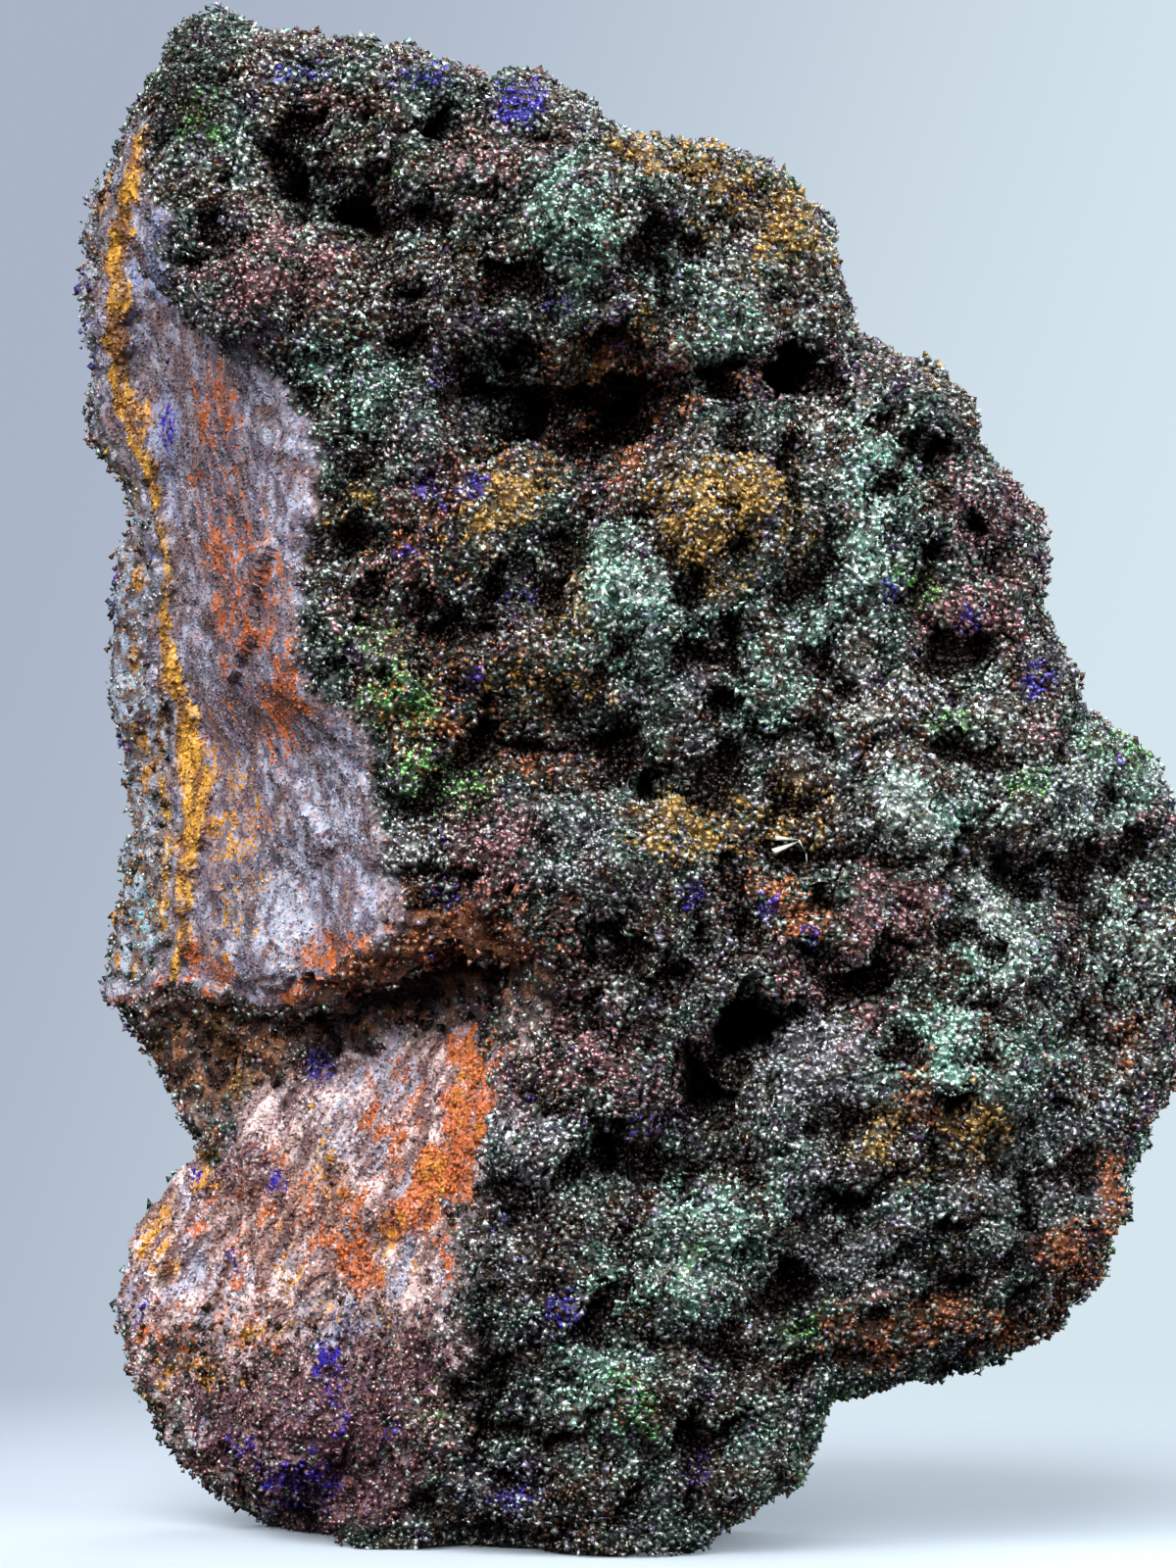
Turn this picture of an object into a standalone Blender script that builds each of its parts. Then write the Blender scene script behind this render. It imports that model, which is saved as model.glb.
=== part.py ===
"""Azurite with malachite: a broken slab of iron-rich rock with a dark crystal crust.

One natural solid, standing on a small flat spot. Metres, +Z up. The good face looks
towards -Y. The origin is the middle of the box's underside.

Places on the stone are in millimetres: x from its left edge, z from its foot, and
depth from its front, all as seen from the good face.
"""

import math

import bmesh
import bpy
import numpy as np
from mathutils import Matrix, Vector, noise

MM = 0.001
NAME = "azurite_malachite_stone"

# Driving dimensions, in millimetres
WIDTH = 24.6
HEIGHT = 34.1
DEPTH = 14.0
FOOT_TRIM = 0.35
VIEW_DISTANCE = 152.0
VIEW_HEIGHT = 16.8
ROUGH_VOXEL = 0.42
FINE_VOXEL = 0.36
TRIANGLES = 9400

# The stone's outline from the front, clockwise from the top left peak
FRONT_OUTLINE = [
    (3.0, 34.7), (3.6, 33.6), (4.5, 33.2), (5.6, 33.0), (7.0, 33.1), (8.2, 32.7),
    (8.6, 32.0), (9.5, 32.5), (10.4, 32.3), (10.7, 31.7), (11.8, 31.5), (12.0, 31.0),
    (14.0, 30.9), (15.7, 30.3), (15.9, 29.5), (16.6, 28.5), (16.8, 27.3), (16.8, 26.8),
    (17.8, 26.2), (18.8, 26.0), (19.5, 25.5), (19.6, 24.8), (19.9, 23.8), (20.7, 23.1),
    (21.3, 22.1), (21.0, 20.3), (21.9, 19.4), (22.3, 18.0), (23.7, 17.6), (23.8, 16.4),
    (24.4, 15.5), (24.6, 14.0), (24.6, 12.0), (24.2, 10.2), (23.1, 8.8), (23.4, 7.9),
    (22.6, 6.9), (22.4, 6.0), (21.3, 4.6), (20.0, 4.0), (18.9, 4.2), (17.9, 3.8),
    (16.4, 3.5), (16.2, 2.4), (15.2, 1.4), (14.2, 0.9), (13.5, 0.0), (5.4, 0.0),
    (3.8, 0.9), (2.2, 2.4), (1.2, 3.9), (1.0, 6.1), (1.6, 7.6), (2.7, 8.8),
    (2.1, 10.3), (1.5, 11.7), (0.7, 12.2), (1.0, 14.2), (1.3, 16.4), (1.1, 18.0),
    (0.8, 19.4), (1.0, 20.4), (0.8, 21.3), (1.5, 23.1), (0.4, 24.6), (0.0, 26.0),
    (0.3, 27.4), (0.1, 28.2), (0.7, 30.5), (1.4, 31.7), (2.0, 33.0), (2.5, 34.0),
]

# The outline from the side: depth and height
SIDE_OUTLINE = [
    (4.6, 35.5), (2.9, 32.0), (2.6, 28.0), (2.9, 22.0), (2.5, 15.0), (2.8, 8.0),
    (3.6, 4.0), (3.8, 1.5), (4.0, -1.0), (11.4, -1.0), (11.8, 2.0), (12.3, 7.0),
    (12.7, 15.0), (12.5, 22.0), (12.0, 28.0), (10.4, 32.0), (8.4, 35.5),
]

# Broken faces at the left, from above: x and depth at the foot, at the top, then both heights
LEFT_BREAK_HIGH = (
    [(-3.0, -2.0), (6.3, -2.0), (5.2, 2.4), (2.3, 10.6), (-3.0, 10.9)],
    [(-3.0, -2.0), (5.6, -2.0), (4.5, 2.4), (0.9, 10.2), (-3.0, 10.5)],
    (17.9, 31.6),
)
LEFT_BREAK_LOW = (
    [(-3.0, -2.0), (8.6, -2.0), (7.6, 2.6), (1.8, 10.0), (-3.0, 10.3)],
    [(-3.0, -2.0), (7.4, -2.0), (6.3, 2.6), (2.4, 10.6), (-3.0, 10.9)],
    (11.2, 18.6),
)
LEFT_RECESS = (
    [(-3.0, -2.0), (9.8, -2.0), (9.0, 2.6), (5.6, 6.0), (2.2, 10.0), (-3.0, 10.2)],
    [(-3.0, -2.0), (11.6, -2.0), (10.6, 3.8), (7.4, 6.8), (2.6, 10.6), (-3.0, 10.8)],
    (8.9, 12.3),
)
RECESS_RISE = -13
RECESS_PIVOT = (4.0, 6.0, 11.6)
LOBE_BREAK = (
    [(-3.0, -2.0), (9.6, -2.0), (8.6, 3.4), (1.3, 9.2), (-3.0, 9.4)],
    [(-3.0, -2.0), (9.9, -2.0), (9.0, 2.6), (2.0, 10.4), (-3.0, 10.6)],
    (-2.0, 9.9),
)

# The step at the lower right, from the front: the crust stops and a lower ledge shows
LEDGE_STEP = [
    (27.0, 10.0), (23.3, 8.6), (22.0, 7.2), (19.8, 5.1), (17.8, 4.4), (16.0, 3.9),
    (15.8, -2.0), (27.0, -2.0),
]
LEDGE_STEP_DEPTH = 7.4

# Broken flats that trim the block: a point (x, depth, z) and the outward direction
FLATS = [
    ((20.9, 3.3, 14.0), (0.62, -0.78, 0.04)),
    ((22.8, 9.8, 13.0), (0.58, 0.81, -0.08)),
    ((17.0, 9.4, 26.0), (0.46, 0.80, 0.38)),
    ((7.0, 10.2, 31.0), (-0.12, 0.80, 0.59)),
    ((3.4, 13.0, 20.0), (-0.34, 0.94, 0.06)),
    ((12.0, 12.9, 9.5), (0.05, 0.95, -0.30)),
    ((7.5, 12.2, 1.8), (-0.16, 0.84, -0.52)),
    ((18.5, 10.6, 4.5), (0.42, 0.68, -0.60)),
    ((4.6, 5.2, 4.9), (-0.50, -0.66, -0.56)),
    ((14.5, 3.0, 1.4), (0.30, -0.70, -0.65)),
    ((7.0, 3.6, 32.2), (-0.10, -0.55, 0.83)),
    ((15.5, 3.2, 29.3), (0.50, -0.62, 0.60)),
]

# Steps broken out of the back, as outlines from the front, and the depths they start at
HIGH_BACK_STEP = [
    (11.5, 36.0), (12.3, 27.0), (11.2, 24.2), (12.6, 21.8), (16.0, 20.6), (27.0, 22.4),
    (27.0, 36.0),
]
HIGH_BACK_STEP_DEPTH = 10.9
LOW_BACK_STEP = [
    (-2.0, -2.0), (-2.0, 8.0), (4.4, 9.4), (8.2, 8.8), (9.8, 6.4), (9.2, -2.0),
]
LOW_BACK_STEP_DEPTH = 11.5

# Lumps of the front crust: x, z, depth of the foremost point, half width, half height
FRONT_LUMPS = {
    "peak": (2.9, 31.3, 4.2, 1.7, 2.3),
    "upper left brow": (3.3, 29.4, 2.6, 2.0, 2.0),
    "second brow": (4.3, 27.5, 1.9, 1.7, 1.4),
    "top ridge left": (5.2, 31.7, 3.0, 1.5, 1.1),
    "top ridge middle": (7.1, 31.8, 2.6, 1.5, 1.0),
    "azurite knob": (9.7, 31.4, 3.3, 1.0, 1.1),
    "rim over the hole": (6.9, 30.3, 1.8, 1.8, 0.9),
    "cheek right of the hole": (8.7, 29.2, 1.2, 1.5, 1.5),
    "bright green mound": (10.9, 29.1, 0.6, 1.7, 1.6),
    "top right ochre": (13.8, 29.9, 2.2, 1.6, 1.2),
    "shoulder": (15.6, 28.7, 2.5, 1.4, 1.6),
    "under the shoulder": (14.4, 27.4, 1.3, 1.9, 1.3),
    "fold left of the shoulder": (12.6, 27.9, 1.3, 1.3, 1.5),
    "crest over the recess": (11.9, 26.7, 1.0, 1.9, 0.9),
    "hanging lip": (14.8, 26.4, 1.3, 2.2, 0.8),
    "middle of the upper field": (8.8, 27.2, 1.3, 1.6, 1.3),
    "left of the middle": (6.2, 27.2, 1.6, 1.5, 1.3),
    "crust edge high": (6.2, 24.8, 1.9, 1.1, 1.5),
    "crust edge inner": (8.1, 24.1, 1.7, 1.4, 1.2),
    "crust edge low": (6.2, 22.4, 1.9, 1.1, 1.6),
    "brown knot": (6.4, 20.2, 1.8, 1.2, 1.2),
    "green step": (7.9, 18.9, 1.9, 1.5, 1.1),
    "speckled field left": (8.9, 22.2, 1.4, 1.6, 1.4),
    "speckled field low": (9.3, 20.2, 1.3, 1.7, 1.3),
    "knot under the recess": (11.4, 22.6, 1.7, 1.2, 1.2),
    "recess pillow": (12.7, 25.0, 2.6, 1.1, 0.6),
    "ochre ball": (14.2, 22.4, 0.7, 1.6, 1.6),
    "right of the lip": (16.2, 24.0, 1.4, 1.5, 1.5),
    "dark cap": (17.5, 25.7, 2.8, 1.3, 0.9),
    "cap end": (19.0, 25.0, 3.6, 1.0, 0.9),
    "green back": (17.7, 22.8, 1.7, 1.4, 2.1),
    "brown red lump": (20.0, 22.4, 3.6, 1.4, 2.0),
    "violet neighbour": (19.7, 20.4, 3.0, 1.2, 1.2),
    "striped mound": (12.4, 20.3, 0.5, 1.8, 1.8),
    "field right of it": (14.6, 19.2, 1.0, 1.5, 1.4),
    "field under the green": (16.8, 19.6, 1.3, 1.5, 1.6),
    "grey ridge": (19.0, 18.4, 2.2, 1.4, 1.5),
    "blue corner": (21.2, 19.0, 3.8, 0.9, 1.1),
    "big brown mound left": (10.2, 15.1, 0.5, 1.6, 2.0),
    "big brown mound": (12.0, 14.8, 0.0, 2.2, 2.2),
    "crust edge at the break": (7.7, 16.2, 2.3, 1.3, 1.6),
    "ochre strip": (15.0, 15.9, 1.4, 1.8, 0.9),
    "pale streak": (17.3, 16.8, 1.0, 0.9, 2.2),
    "white green patch": (18.5, 16.4, 1.1, 1.1, 1.4),
    "knob over the pit": (20.8, 16.6, 1.8, 1.2, 1.0),
    "right flank high": (23.1, 16.1, 4.6, 1.2, 1.4),
    "under the brown mound": (13.6, 13.4, 0.9, 1.6, 1.2),
    "over the big pit": (16.6, 14.2, 0.9, 1.4, 1.3),
    "pale edge of the pit": (20.0, 13.6, 1.4, 1.4, 1.3),
    "red ridge": (18.0, 12.9, 1.2, 0.8, 1.7),
    "right flank": (22.6, 13.1, 3.8, 1.4, 2.2),
    "red white knot": (12.2, 10.9, 0.8, 1.7, 1.2),
    "grey flat": (16.5, 10.5, 1.1, 1.6, 1.1),
    "green slope": (19.2, 10.9, 1.5, 1.6, 1.6),
    "right flank low": (21.9, 10.3, 3.4, 1.6, 1.6),
    "slope to the ledge": (20.2, 8.1, 2.8, 1.7, 1.4),
    "long ridge high": (15.4, 8.4, 1.0, 1.6, 0.9),
    "long ridge low": (13.4, 6.7, 1.2, 1.6, 1.0),
    "hip": (17.9, 7.7, 1.9, 1.6, 1.3),
    "grey lower face": (16.6, 5.9, 2.5, 1.6, 1.0),
    "lobe corner": (10.6, 8.6, 1.5, 1.4, 1.7),
    "lobe edge": (9.6, 6.0, 1.7, 1.5, 2.0),
    "lower belly": (12.5, 4.4, 1.9, 1.8, 1.6),
    "lower belly right": (14.6, 3.3, 2.9, 1.5, 1.3),
    "foot left": (9.0, 3.0, 2.9, 1.8, 1.6),
    "foot middle": (11.8, 2.0, 3.1, 1.8, 1.3),
    "purple underside": (5.6, 3.0, 5.6, 2.1, 1.7),
    "heel left": (7.2, 0.8, 4.8, 1.6, 1.3),
    "heel right": (12.3, 0.8, 3.8, 1.8, 1.3),
    "apron left": (3.9, 9.2, 8.7, 1.3, 0.9),
    "apron middle": (5.6, 9.7, 6.9, 1.3, 0.9),
    "apron right": (7.5, 10.2, 4.9, 1.3, 0.9),
}

# Hollows of the front: x, z, depth of the floor, half width, half height
FRONT_PITS = {
    "black hole": (6.3, 29.0, 4.6, 0.95, 0.85),
    "hole beside it": (4.9, 29.9, 4.3, 0.65, 0.65),
    "top slot left": (6.1, 31.1, 4.6, 0.5, 0.45),
    "top slot right": (7.8, 31.1, 4.6, 0.5, 0.45),
    "crack under the cheek": (7.2, 27.9, 3.5, 0.6, 0.4),
    "dark bay": (9.9, 25.0, 5.0, 1.9, 0.9),
    "deep recess": (12.1, 25.2, 6.8, 1.5, 1.0),
    "recess tail": (11.2, 24.1, 5.0, 0.8, 1.0),
    "under the lip": (15.2, 25.75, 4.3, 1.7, 0.45),
    "slot by the step": (6.6, 21.0, 3.9, 0.9, 0.5),
    "bay in the field": (9.4, 20.9, 3.4, 0.9, 0.5),
    "pit under the green": (7.8, 19.6, 3.6, 0.7, 0.35),
    "long shadow": (11.8, 17.9, 3.6, 1.4, 0.5),
    "slot over the ochre": (13.0, 16.9, 3.8, 0.7, 0.4),
    "edge pit": (8.2, 15.0, 4.0, 0.6, 0.5),
    "flank pit": (20.9, 15.1, 5.0, 1.1, 0.7),
    "flank slit": (23.2, 15.0, 6.2, 0.6, 0.35),
    "hollow by the ridge": (19.0, 13.6, 4.0, 0.6, 0.7),
    "hollow over the pit": (16.9, 12.9, 3.6, 0.9, 0.6),
    "big pit": (14.7, 11.9, 5.4, 1.1, 1.0),
    "big pit tail": (14.0, 10.5, 4.6, 0.8, 1.2),
    "short slot": (11.5, 8.8, 3.4, 0.6, 0.8),
    "hollow by the lobe": (9.7, 7.6, 3.2, 0.7, 0.5),
    "hip slot": (17.2, 7.9, 4.0, 0.9, 0.4),
    "ridge slot": (14.0, 6.2, 3.5, 0.6, 0.4),
    "cap pit": (18.5, 24.2, 4.4, 0.5, 0.5),
    "foot arch": (9.0, 0.2, 6.0, 1.6, 0.7),
}

# Lumps of the back crust: x, z, depth of the outermost point, half width, half height
BACK_LUMPS = {
    "left band top": (2.0, 30.4, 11.6, 1.5, 1.3),
    "left band high": (1.9, 28.0, 13.0, 1.9, 2.6),
    "left band": (1.9, 24.6, 13.5, 1.9, 2.4),
    "left band middle": (2.4, 20.6, 13.6, 1.7, 2.6),
    "left band low": (2.5, 16.6, 13.7, 1.7, 2.4),
    "left band foot": (2.4, 14.2, 13.5, 1.5, 2.0),
    "notch wall": (3.6, 10.8, 12.9, 1.5, 1.6),
    "upper field": (6.6, 28.0, 13.2, 2.6, 2.4),
    "upper knot": (10.0, 29.4, 12.0, 1.7, 1.5),
    "shoulder back": (13.6, 26.8, 11.9, 2.0, 1.5),
    "shoulder knot": (15.0, 24.0, 11.7, 1.5, 1.3),
    "middle mound": (7.4, 22.4, 14.0, 2.8, 2.2),
    "middle right": (12.4, 18.9, 14.0, 2.2, 1.9),
    "right knot": (17.4, 19.2, 12.6, 1.8, 1.5),
    "spine": (8.6, 17.2, 13.9, 1.6, 2.4),
    "lower mound": (11.6, 13.6, 13.9, 2.5, 2.0),
    "lower right mound": (16.6, 13.2, 13.2, 2.2, 1.9),
    "side knot": (20.6, 14.6, 11.0, 1.5, 1.7),
    "foot mound": (12.6, 7.2, 12.9, 2.1, 2.0),
    "corner knot": (18.4, 9.2, 12.0, 1.7, 1.4),
}

# Hollows of the back: x, z, depth of the floor, half width, half height
BACK_PITS = {
    "high slot": (9.4, 25.4, 11.9, 1.7, 0.7),
    "middle pit": (10.4, 20.6, 11.8, 1.2, 0.9),
    "side pit": (5.2, 18.6, 12.0, 1.0, 1.3),
    "right pit": (15.0, 16.4, 11.5, 1.3, 0.7),
    "low pit": (6.8, 13.2, 11.8, 1.4, 1.0),
    "corner slot": (18.8, 11.4, 10.9, 1.2, 0.6),
    "foot slot": (14.8, 9.8, 11.4, 1.1, 0.7),
}

# How far the front lumps and the back lumps run in, as a share of their other half sizes
FRONT_BULK = 1.0
BACK_BULK = 0.8

# Small lumps and pits spread over the crust, and how deep their middles are sunk in it
SMALL_LUMPS = 300
SMALL_LUMP_RADIUS = (0.7, 1.3)
SMALL_LUMP_SINK = 0.45
SMALL_PITS = 70
SMALL_PIT_RADIUS = (0.45, 0.8)
SMALL_PIT_SINK = -0.1
SMALL_STRETCH = (0.8, 1.3)

# A hollow is a cluster of small ellipsoids: their spread and sizes as shares of the hollow
PIT_CLUSTER = 5
PIT_SPREAD = 0.6
PIT_SIZES = (0.5, 0.8)
PIT_SHORTENING = 0.4
PIT_LENGTH_SHARE = 0.6
PIT_SHORTEST = 2.0
PIT_LEAN = 0.25
BLOB_TURN = 0.5

# The bumps of one ellipsoid: strength, closeness, and the step in the noise from one to the next
BLOB_ROUGHNESS = 0.28
BLOB_WAVE = 1.6
BLOB_STEP = (3.17, 1.31, 2.23)

# Waves of the crust: closeness, height and place in the noise, and what a broken face keeps
CRUST_WAVES = [
    (0.75, 0.36, (0, 0, 0)),
    (1.6, 0.26, (7, 3, 5)),
]
BREAK_CALM = 0.45
SOFTEN_FACTOR = 0.5
SOFTEN_ROUNDS = 2

# Where the broken faces at the left lie, and which way they look
BREAK_LOOKS_LEFT = -0.3
BREAK_LOOKS_BACK = 0.55
BREAK_STEP_HEIGHT = 12.0
BREAK_TOP = 27.0
HIGH_BREAK_EDGE = 7.2
LOW_BREAK_EDGE = 9.6

# The cutters: the size of a flat one, and how far the outlines run past the stone
CUTTER_SIZE = 60.0
OUTLINE_CLEARANCE = 1.0
STEP_CLEARANCE = 2.0
WELD_DISTANCE = 0.01

FRONT = 1
BACK = -1
SEED = 11

ROCK_COLOUR = (0.09, 0.075, 0.07, 1.0)
ROCK_ROUGHNESS = 0.5


def clear_scene():
    for item in list(bpy.data.objects):
        bpy.data.objects.remove(item, do_unlink=True)


def new_collection(name):
    group = bpy.data.collections.new(name)
    bpy.context.scene.collection.children.link(group)
    return group


def place(x, depth, z):
    """A point of the stone, in metres, with the slab's middle at x = 0 and y = 0."""
    return Vector(((x - WIDTH / 2) * MM, (depth - DEPTH / 2) * MM, z * MM))


def evaluated_mesh(obj):
    graph = bpy.context.evaluated_depsgraph_get()
    return bpy.data.meshes.new_from_object(obj.evaluated_get(graph))


def apply_modifiers(obj):
    mesh = evaluated_mesh(obj)
    old = obj.data
    obj.modifiers.clear()
    obj.data = mesh
    bpy.data.meshes.remove(old)


def mesh_object(name, mesh, group):
    obj = bpy.data.objects.new(name, mesh)
    group.objects.link(obj)
    return obj


def drop(obj):
    bpy.data.objects.remove(obj, do_unlink=True)


def prism(name, outline, frame, low, high, group):
    """A flat outline in metres, drawn in the frame's XY plane and extruded from low to high."""
    curve = bpy.data.curves.new(name, "CURVE")
    curve.dimensions = "2D"
    curve.fill_mode = "BOTH"
    curve.extrude = (high - low) / 2
    spline = curve.splines.new("POLY")
    spline.points.add(len(outline) - 1)
    for point, (across, up) in zip(spline.points, outline):
        point.co = (across, up, 0.0, 1.0)
    spline.use_cyclic_u = True
    drawn = bpy.data.objects.new(name + "_outline", curve)
    group.objects.link(drawn)
    drawn.matrix_world = frame @ Matrix.Translation((0, 0, (low + high) / 2))
    bpy.context.view_layer.update()
    solid = mesh_object(name, evaluated_mesh(drawn), group)
    solid.data.transform(drawn.matrix_world)
    drop(drawn)
    edit = bmesh.new()
    edit.from_mesh(solid.data)
    bmesh.ops.remove_doubles(edit, verts=edit.verts, dist=WELD_DISTANCE * MM)
    bmesh.ops.recalc_face_normals(edit, faces=edit.faces)
    edit.to_mesh(solid.data)
    edit.free()
    return solid


FROM_FRONT = Matrix(((1, 0, 0, 0), (0, 0, -1, 0), (0, 1, 0, 0), (0, 0, 0, 1)))
FROM_SIDE = Matrix(((0, 0, 1, 0), (1, 0, 0, 0), (0, 1, 0, 0), (0, 0, 0, 1)))
FROM_ABOVE = Matrix.Identity(4)


def front_prism(name, outline, near, far, group):
    """An outline seen from the front, running from a near to a far depth."""
    points = [(place(x, 0, z).x, z * MM) for x, z in outline]
    low = -place(0, far, 0).y
    high = -place(0, near, 0).y
    return prism(name, points, FROM_FRONT, low, high, group)


def side_prism(name, outline, group):
    points = [(place(0, depth, z).y, z * MM) for depth, z in outline]
    return prism(name, points, FROM_SIDE, -WIDTH * MM, WIDTH * MM, group)


def seen_from_the_view(obj):
    """Narrow the near end of a front prism, so that its outline is the one the eye sees."""
    for vert in obj.data.vertices:
        growth = 1 + vert.co.y / (VIEW_DISTANCE * MM)
        vert.co.x *= growth
        vert.co.z = (VIEW_HEIGHT * MM) + (vert.co.z - VIEW_HEIGHT * MM) * growth


def top_prism(name, foot_outline, top_outline, span, group):
    """A block that runs from one outline, seen from above, to another of as many points."""
    foot = [place(x, depth, span[0]) for x, depth in foot_outline]
    top = [place(x, depth, span[1]) for x, depth in top_outline]
    points = [(point.x, point.y) for point in foot]
    block = prism(name, points, FROM_ABOVE, span[0] * MM, span[1] * MM, group)
    middle = (span[0] + span[1]) / 2 * MM
    for vert in block.data.vertices:
        if vert.co.z > middle:
            gaps = [(point.xy - vert.co.xy).length for point in foot]
            vert.co = top[gaps.index(min(gaps))]
    return block


def combine(obj, other, operation):
    """Boolean with another object, which is used up."""
    step = obj.modifiers.new(operation.lower(), "BOOLEAN")
    step.operation = operation
    step.solver = "EXACT"
    step.object = other
    other.hide_render = True
    other.display_type = "WIRE"
    apply_modifiers(obj)
    drop(other)


def tilt_about(obj, point, axis, degrees):
    """Turn a cutter's mesh about a point of the stone."""
    pivot = place(*point)
    turn = Matrix.Rotation(math.radians(degrees), 4, axis)
    obj.data.transform(Matrix.Translation(pivot) @ turn @ Matrix.Translation(-pivot))


def flat_cutter(point, direction, group):
    """A big block whose one face passes through the point and looks the other way."""
    size = CUTTER_SIZE * MM
    block = bmesh.new()
    bmesh.ops.create_cube(block, size=size)
    bmesh.ops.translate(block, verts=block.verts, vec=(0, 0, size / 2))
    mesh = bpy.data.meshes.new("flat")
    block.to_mesh(mesh)
    block.free()
    outward = Vector(direction).normalized()
    turn = outward.to_track_quat("Z", "Y").to_matrix().to_4x4()
    mesh.transform(Matrix.Translation(place(*point)) @ turn)
    return mesh_object("flat", mesh, group)


def outline_block(name, group):
    near = -OUTLINE_CLEARANCE
    far = DEPTH + OUTLINE_CLEARANCE
    block = front_prism(name, FRONT_OUTLINE, near, far, group)
    seen_from_the_view(block)
    return block


def rough_block(parts, cutters):
    """The slab from its two outlines, with its broken faces cut away."""
    block = outline_block(NAME, parts)
    combine(block, side_prism("side", SIDE_OUTLINE, cutters), "INTERSECT")
    combine(block, top_prism("left_high", *LEFT_BREAK_HIGH, cutters), "DIFFERENCE")
    combine(block, top_prism("left_low", *LEFT_BREAK_LOW, cutters), "DIFFERENCE")
    combine(block, top_prism("lobe", *LOBE_BREAK, cutters), "DIFFERENCE")
    recess = top_prism("left_recess", *LEFT_RECESS, cutters)
    tilt_about(recess, RECESS_PIVOT, "Y", RECESS_RISE)
    combine(block, recess, "DIFFERENCE")
    far = DEPTH + STEP_CLEARANCE
    ledge = front_prism("ledge_step", LEDGE_STEP, -STEP_CLEARANCE, LEDGE_STEP_DEPTH, cutters)
    combine(block, ledge, "DIFFERENCE")
    high = front_prism("high_step", HIGH_BACK_STEP, HIGH_BACK_STEP_DEPTH, far, cutters)
    combine(block, high, "DIFFERENCE")
    low = front_prism("low_step", LOW_BACK_STEP, LOW_BACK_STEP_DEPTH, far, cutters)
    combine(block, low, "DIFFERENCE")
    for point, direction in FLATS:
        combine(block, flat_cutter(point, direction, cutters), "DIFFERENCE")
    return block


def add_blob(edit, centre, radii, turn, number):
    """A noisy ellipsoid in metres; its number picks its place in the noise."""
    made = bmesh.ops.create_icosphere(edit, subdivisions=3, radius=1.0)["verts"]
    shift = Vector([number * step for step in BLOB_STEP])
    for vert in made:
        swell = 1 + BLOB_ROUGHNESS * noise.noise(vert.co * BLOB_WAVE + shift)
        vert.co = Vector([c * r * swell for c, r in zip(vert.co, radii)])
    bmesh.ops.transform(edit, matrix=Matrix.Translation(centre) @ turn, verts=made)


def blobs_object(name, blobs, group):
    """One object from many ellipsoids, each (centre, radii, turn)."""
    edit = bmesh.new()
    for number, (centre, radii, turn) in enumerate(blobs, start=1):
        add_blob(edit, centre, radii, turn, number)
    mesh = bpy.data.meshes.new(name)
    edit.to_mesh(mesh)
    edit.free()
    return mesh_object(name, mesh, group)


def face_depth(side):
    """The depth of the slab's front or back face."""
    return DEPTH / 2 - side * DEPTH / 2


def pit_blobs(table, side, rng):
    """Each named hollow as a cluster of small ellipsoids, so that its mouth is ragged."""
    face = face_depth(side)
    blobs = []
    for x, z, floor, half_width, half_height in table.values():
        for _ in range(PIT_CLUSTER):
            across = rng.uniform(-PIT_SPREAD, PIT_SPREAD) * half_width
            up = rng.uniform(-PIT_SPREAD, PIT_SPREAD) * half_height
            size = rng.uniform(*PIT_SIZES)
            reach = floor - side * rng.uniform(0.0, PIT_SHORTENING) * abs(floor - face)
            length = max(PIT_SHORTEST, abs(reach - face) * PIT_LENGTH_SHARE)
            radii = (half_width * size * MM, length * MM, half_height * size * MM)
            centre = place(x + across, reach - side * length, z + up)
            lean = Matrix.Rotation(rng.uniform(-PIT_LEAN, PIT_LEAN), 4, "X")
            turn = Matrix.Rotation(rng.uniform(-BLOB_TURN, BLOB_TURN), 4, "Y") @ lean
            blobs.append((centre, radii, turn))
    return blobs


def lump_blobs(table, side, bulk, rng):
    """Ellipsoids from a table, whose outermost points reach the depths it gives."""
    blobs = []
    for x, z, reach, half_width, half_height in table.values():
        radius = bulk * (half_width + half_height) / 2
        centre = place(x, reach + side * radius, z)
        radii = (half_width * MM, radius * MM, half_height * MM)
        turn = Matrix.Rotation(rng.uniform(-BLOB_TURN, BLOB_TURN), 4, "Y")
        blobs.append((centre, radii, turn))
    return blobs


def is_broken_face(point, normal):
    """True on the clean breaks at the left, where no crust grew."""
    x = point.x / MM + WIDTH / 2
    z = point.z / MM
    looks_left = normal.x < BREAK_LOOKS_LEFT and normal.y < BREAK_LOOKS_BACK
    upper = BREAK_STEP_HEIGHT < z < BREAK_TOP and x < HIGH_BREAK_EDGE
    lower = z < BREAK_STEP_HEIGHT and x < LOW_BREAK_EDGE
    return looks_left and (upper or lower)


def scattered_blobs(obj, count, sizes, sink, rng):
    """Small ellipsoids spread by area over the crust."""
    mesh = obj.data
    mesh.calc_loop_triangles()
    areas = np.array([tri.area for tri in mesh.loop_triangles])
    picks = rng.choice(len(areas), size=count, p=areas / areas.sum())
    blobs = []
    for index in picks:
        tri = mesh.loop_triangles[index]
        corners = [mesh.vertices[v].co for v in tri.vertices]
        a, b = sorted(rng.uniform(0, 1, 2))
        point = corners[0] * a + corners[1] * (b - a) + corners[2] * (1 - b)
        size = rng.uniform(*sizes) * MM
        radii = (size * rng.uniform(*SMALL_STRETCH), size, size * rng.uniform(*SMALL_STRETCH))
        if is_broken_face(point, tri.normal):
            continue
        turn = Matrix.Rotation(rng.uniform(0, math.pi), 4, tri.normal)
        blobs.append((point - tri.normal * size * sink, radii, turn))
    return blobs


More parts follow.
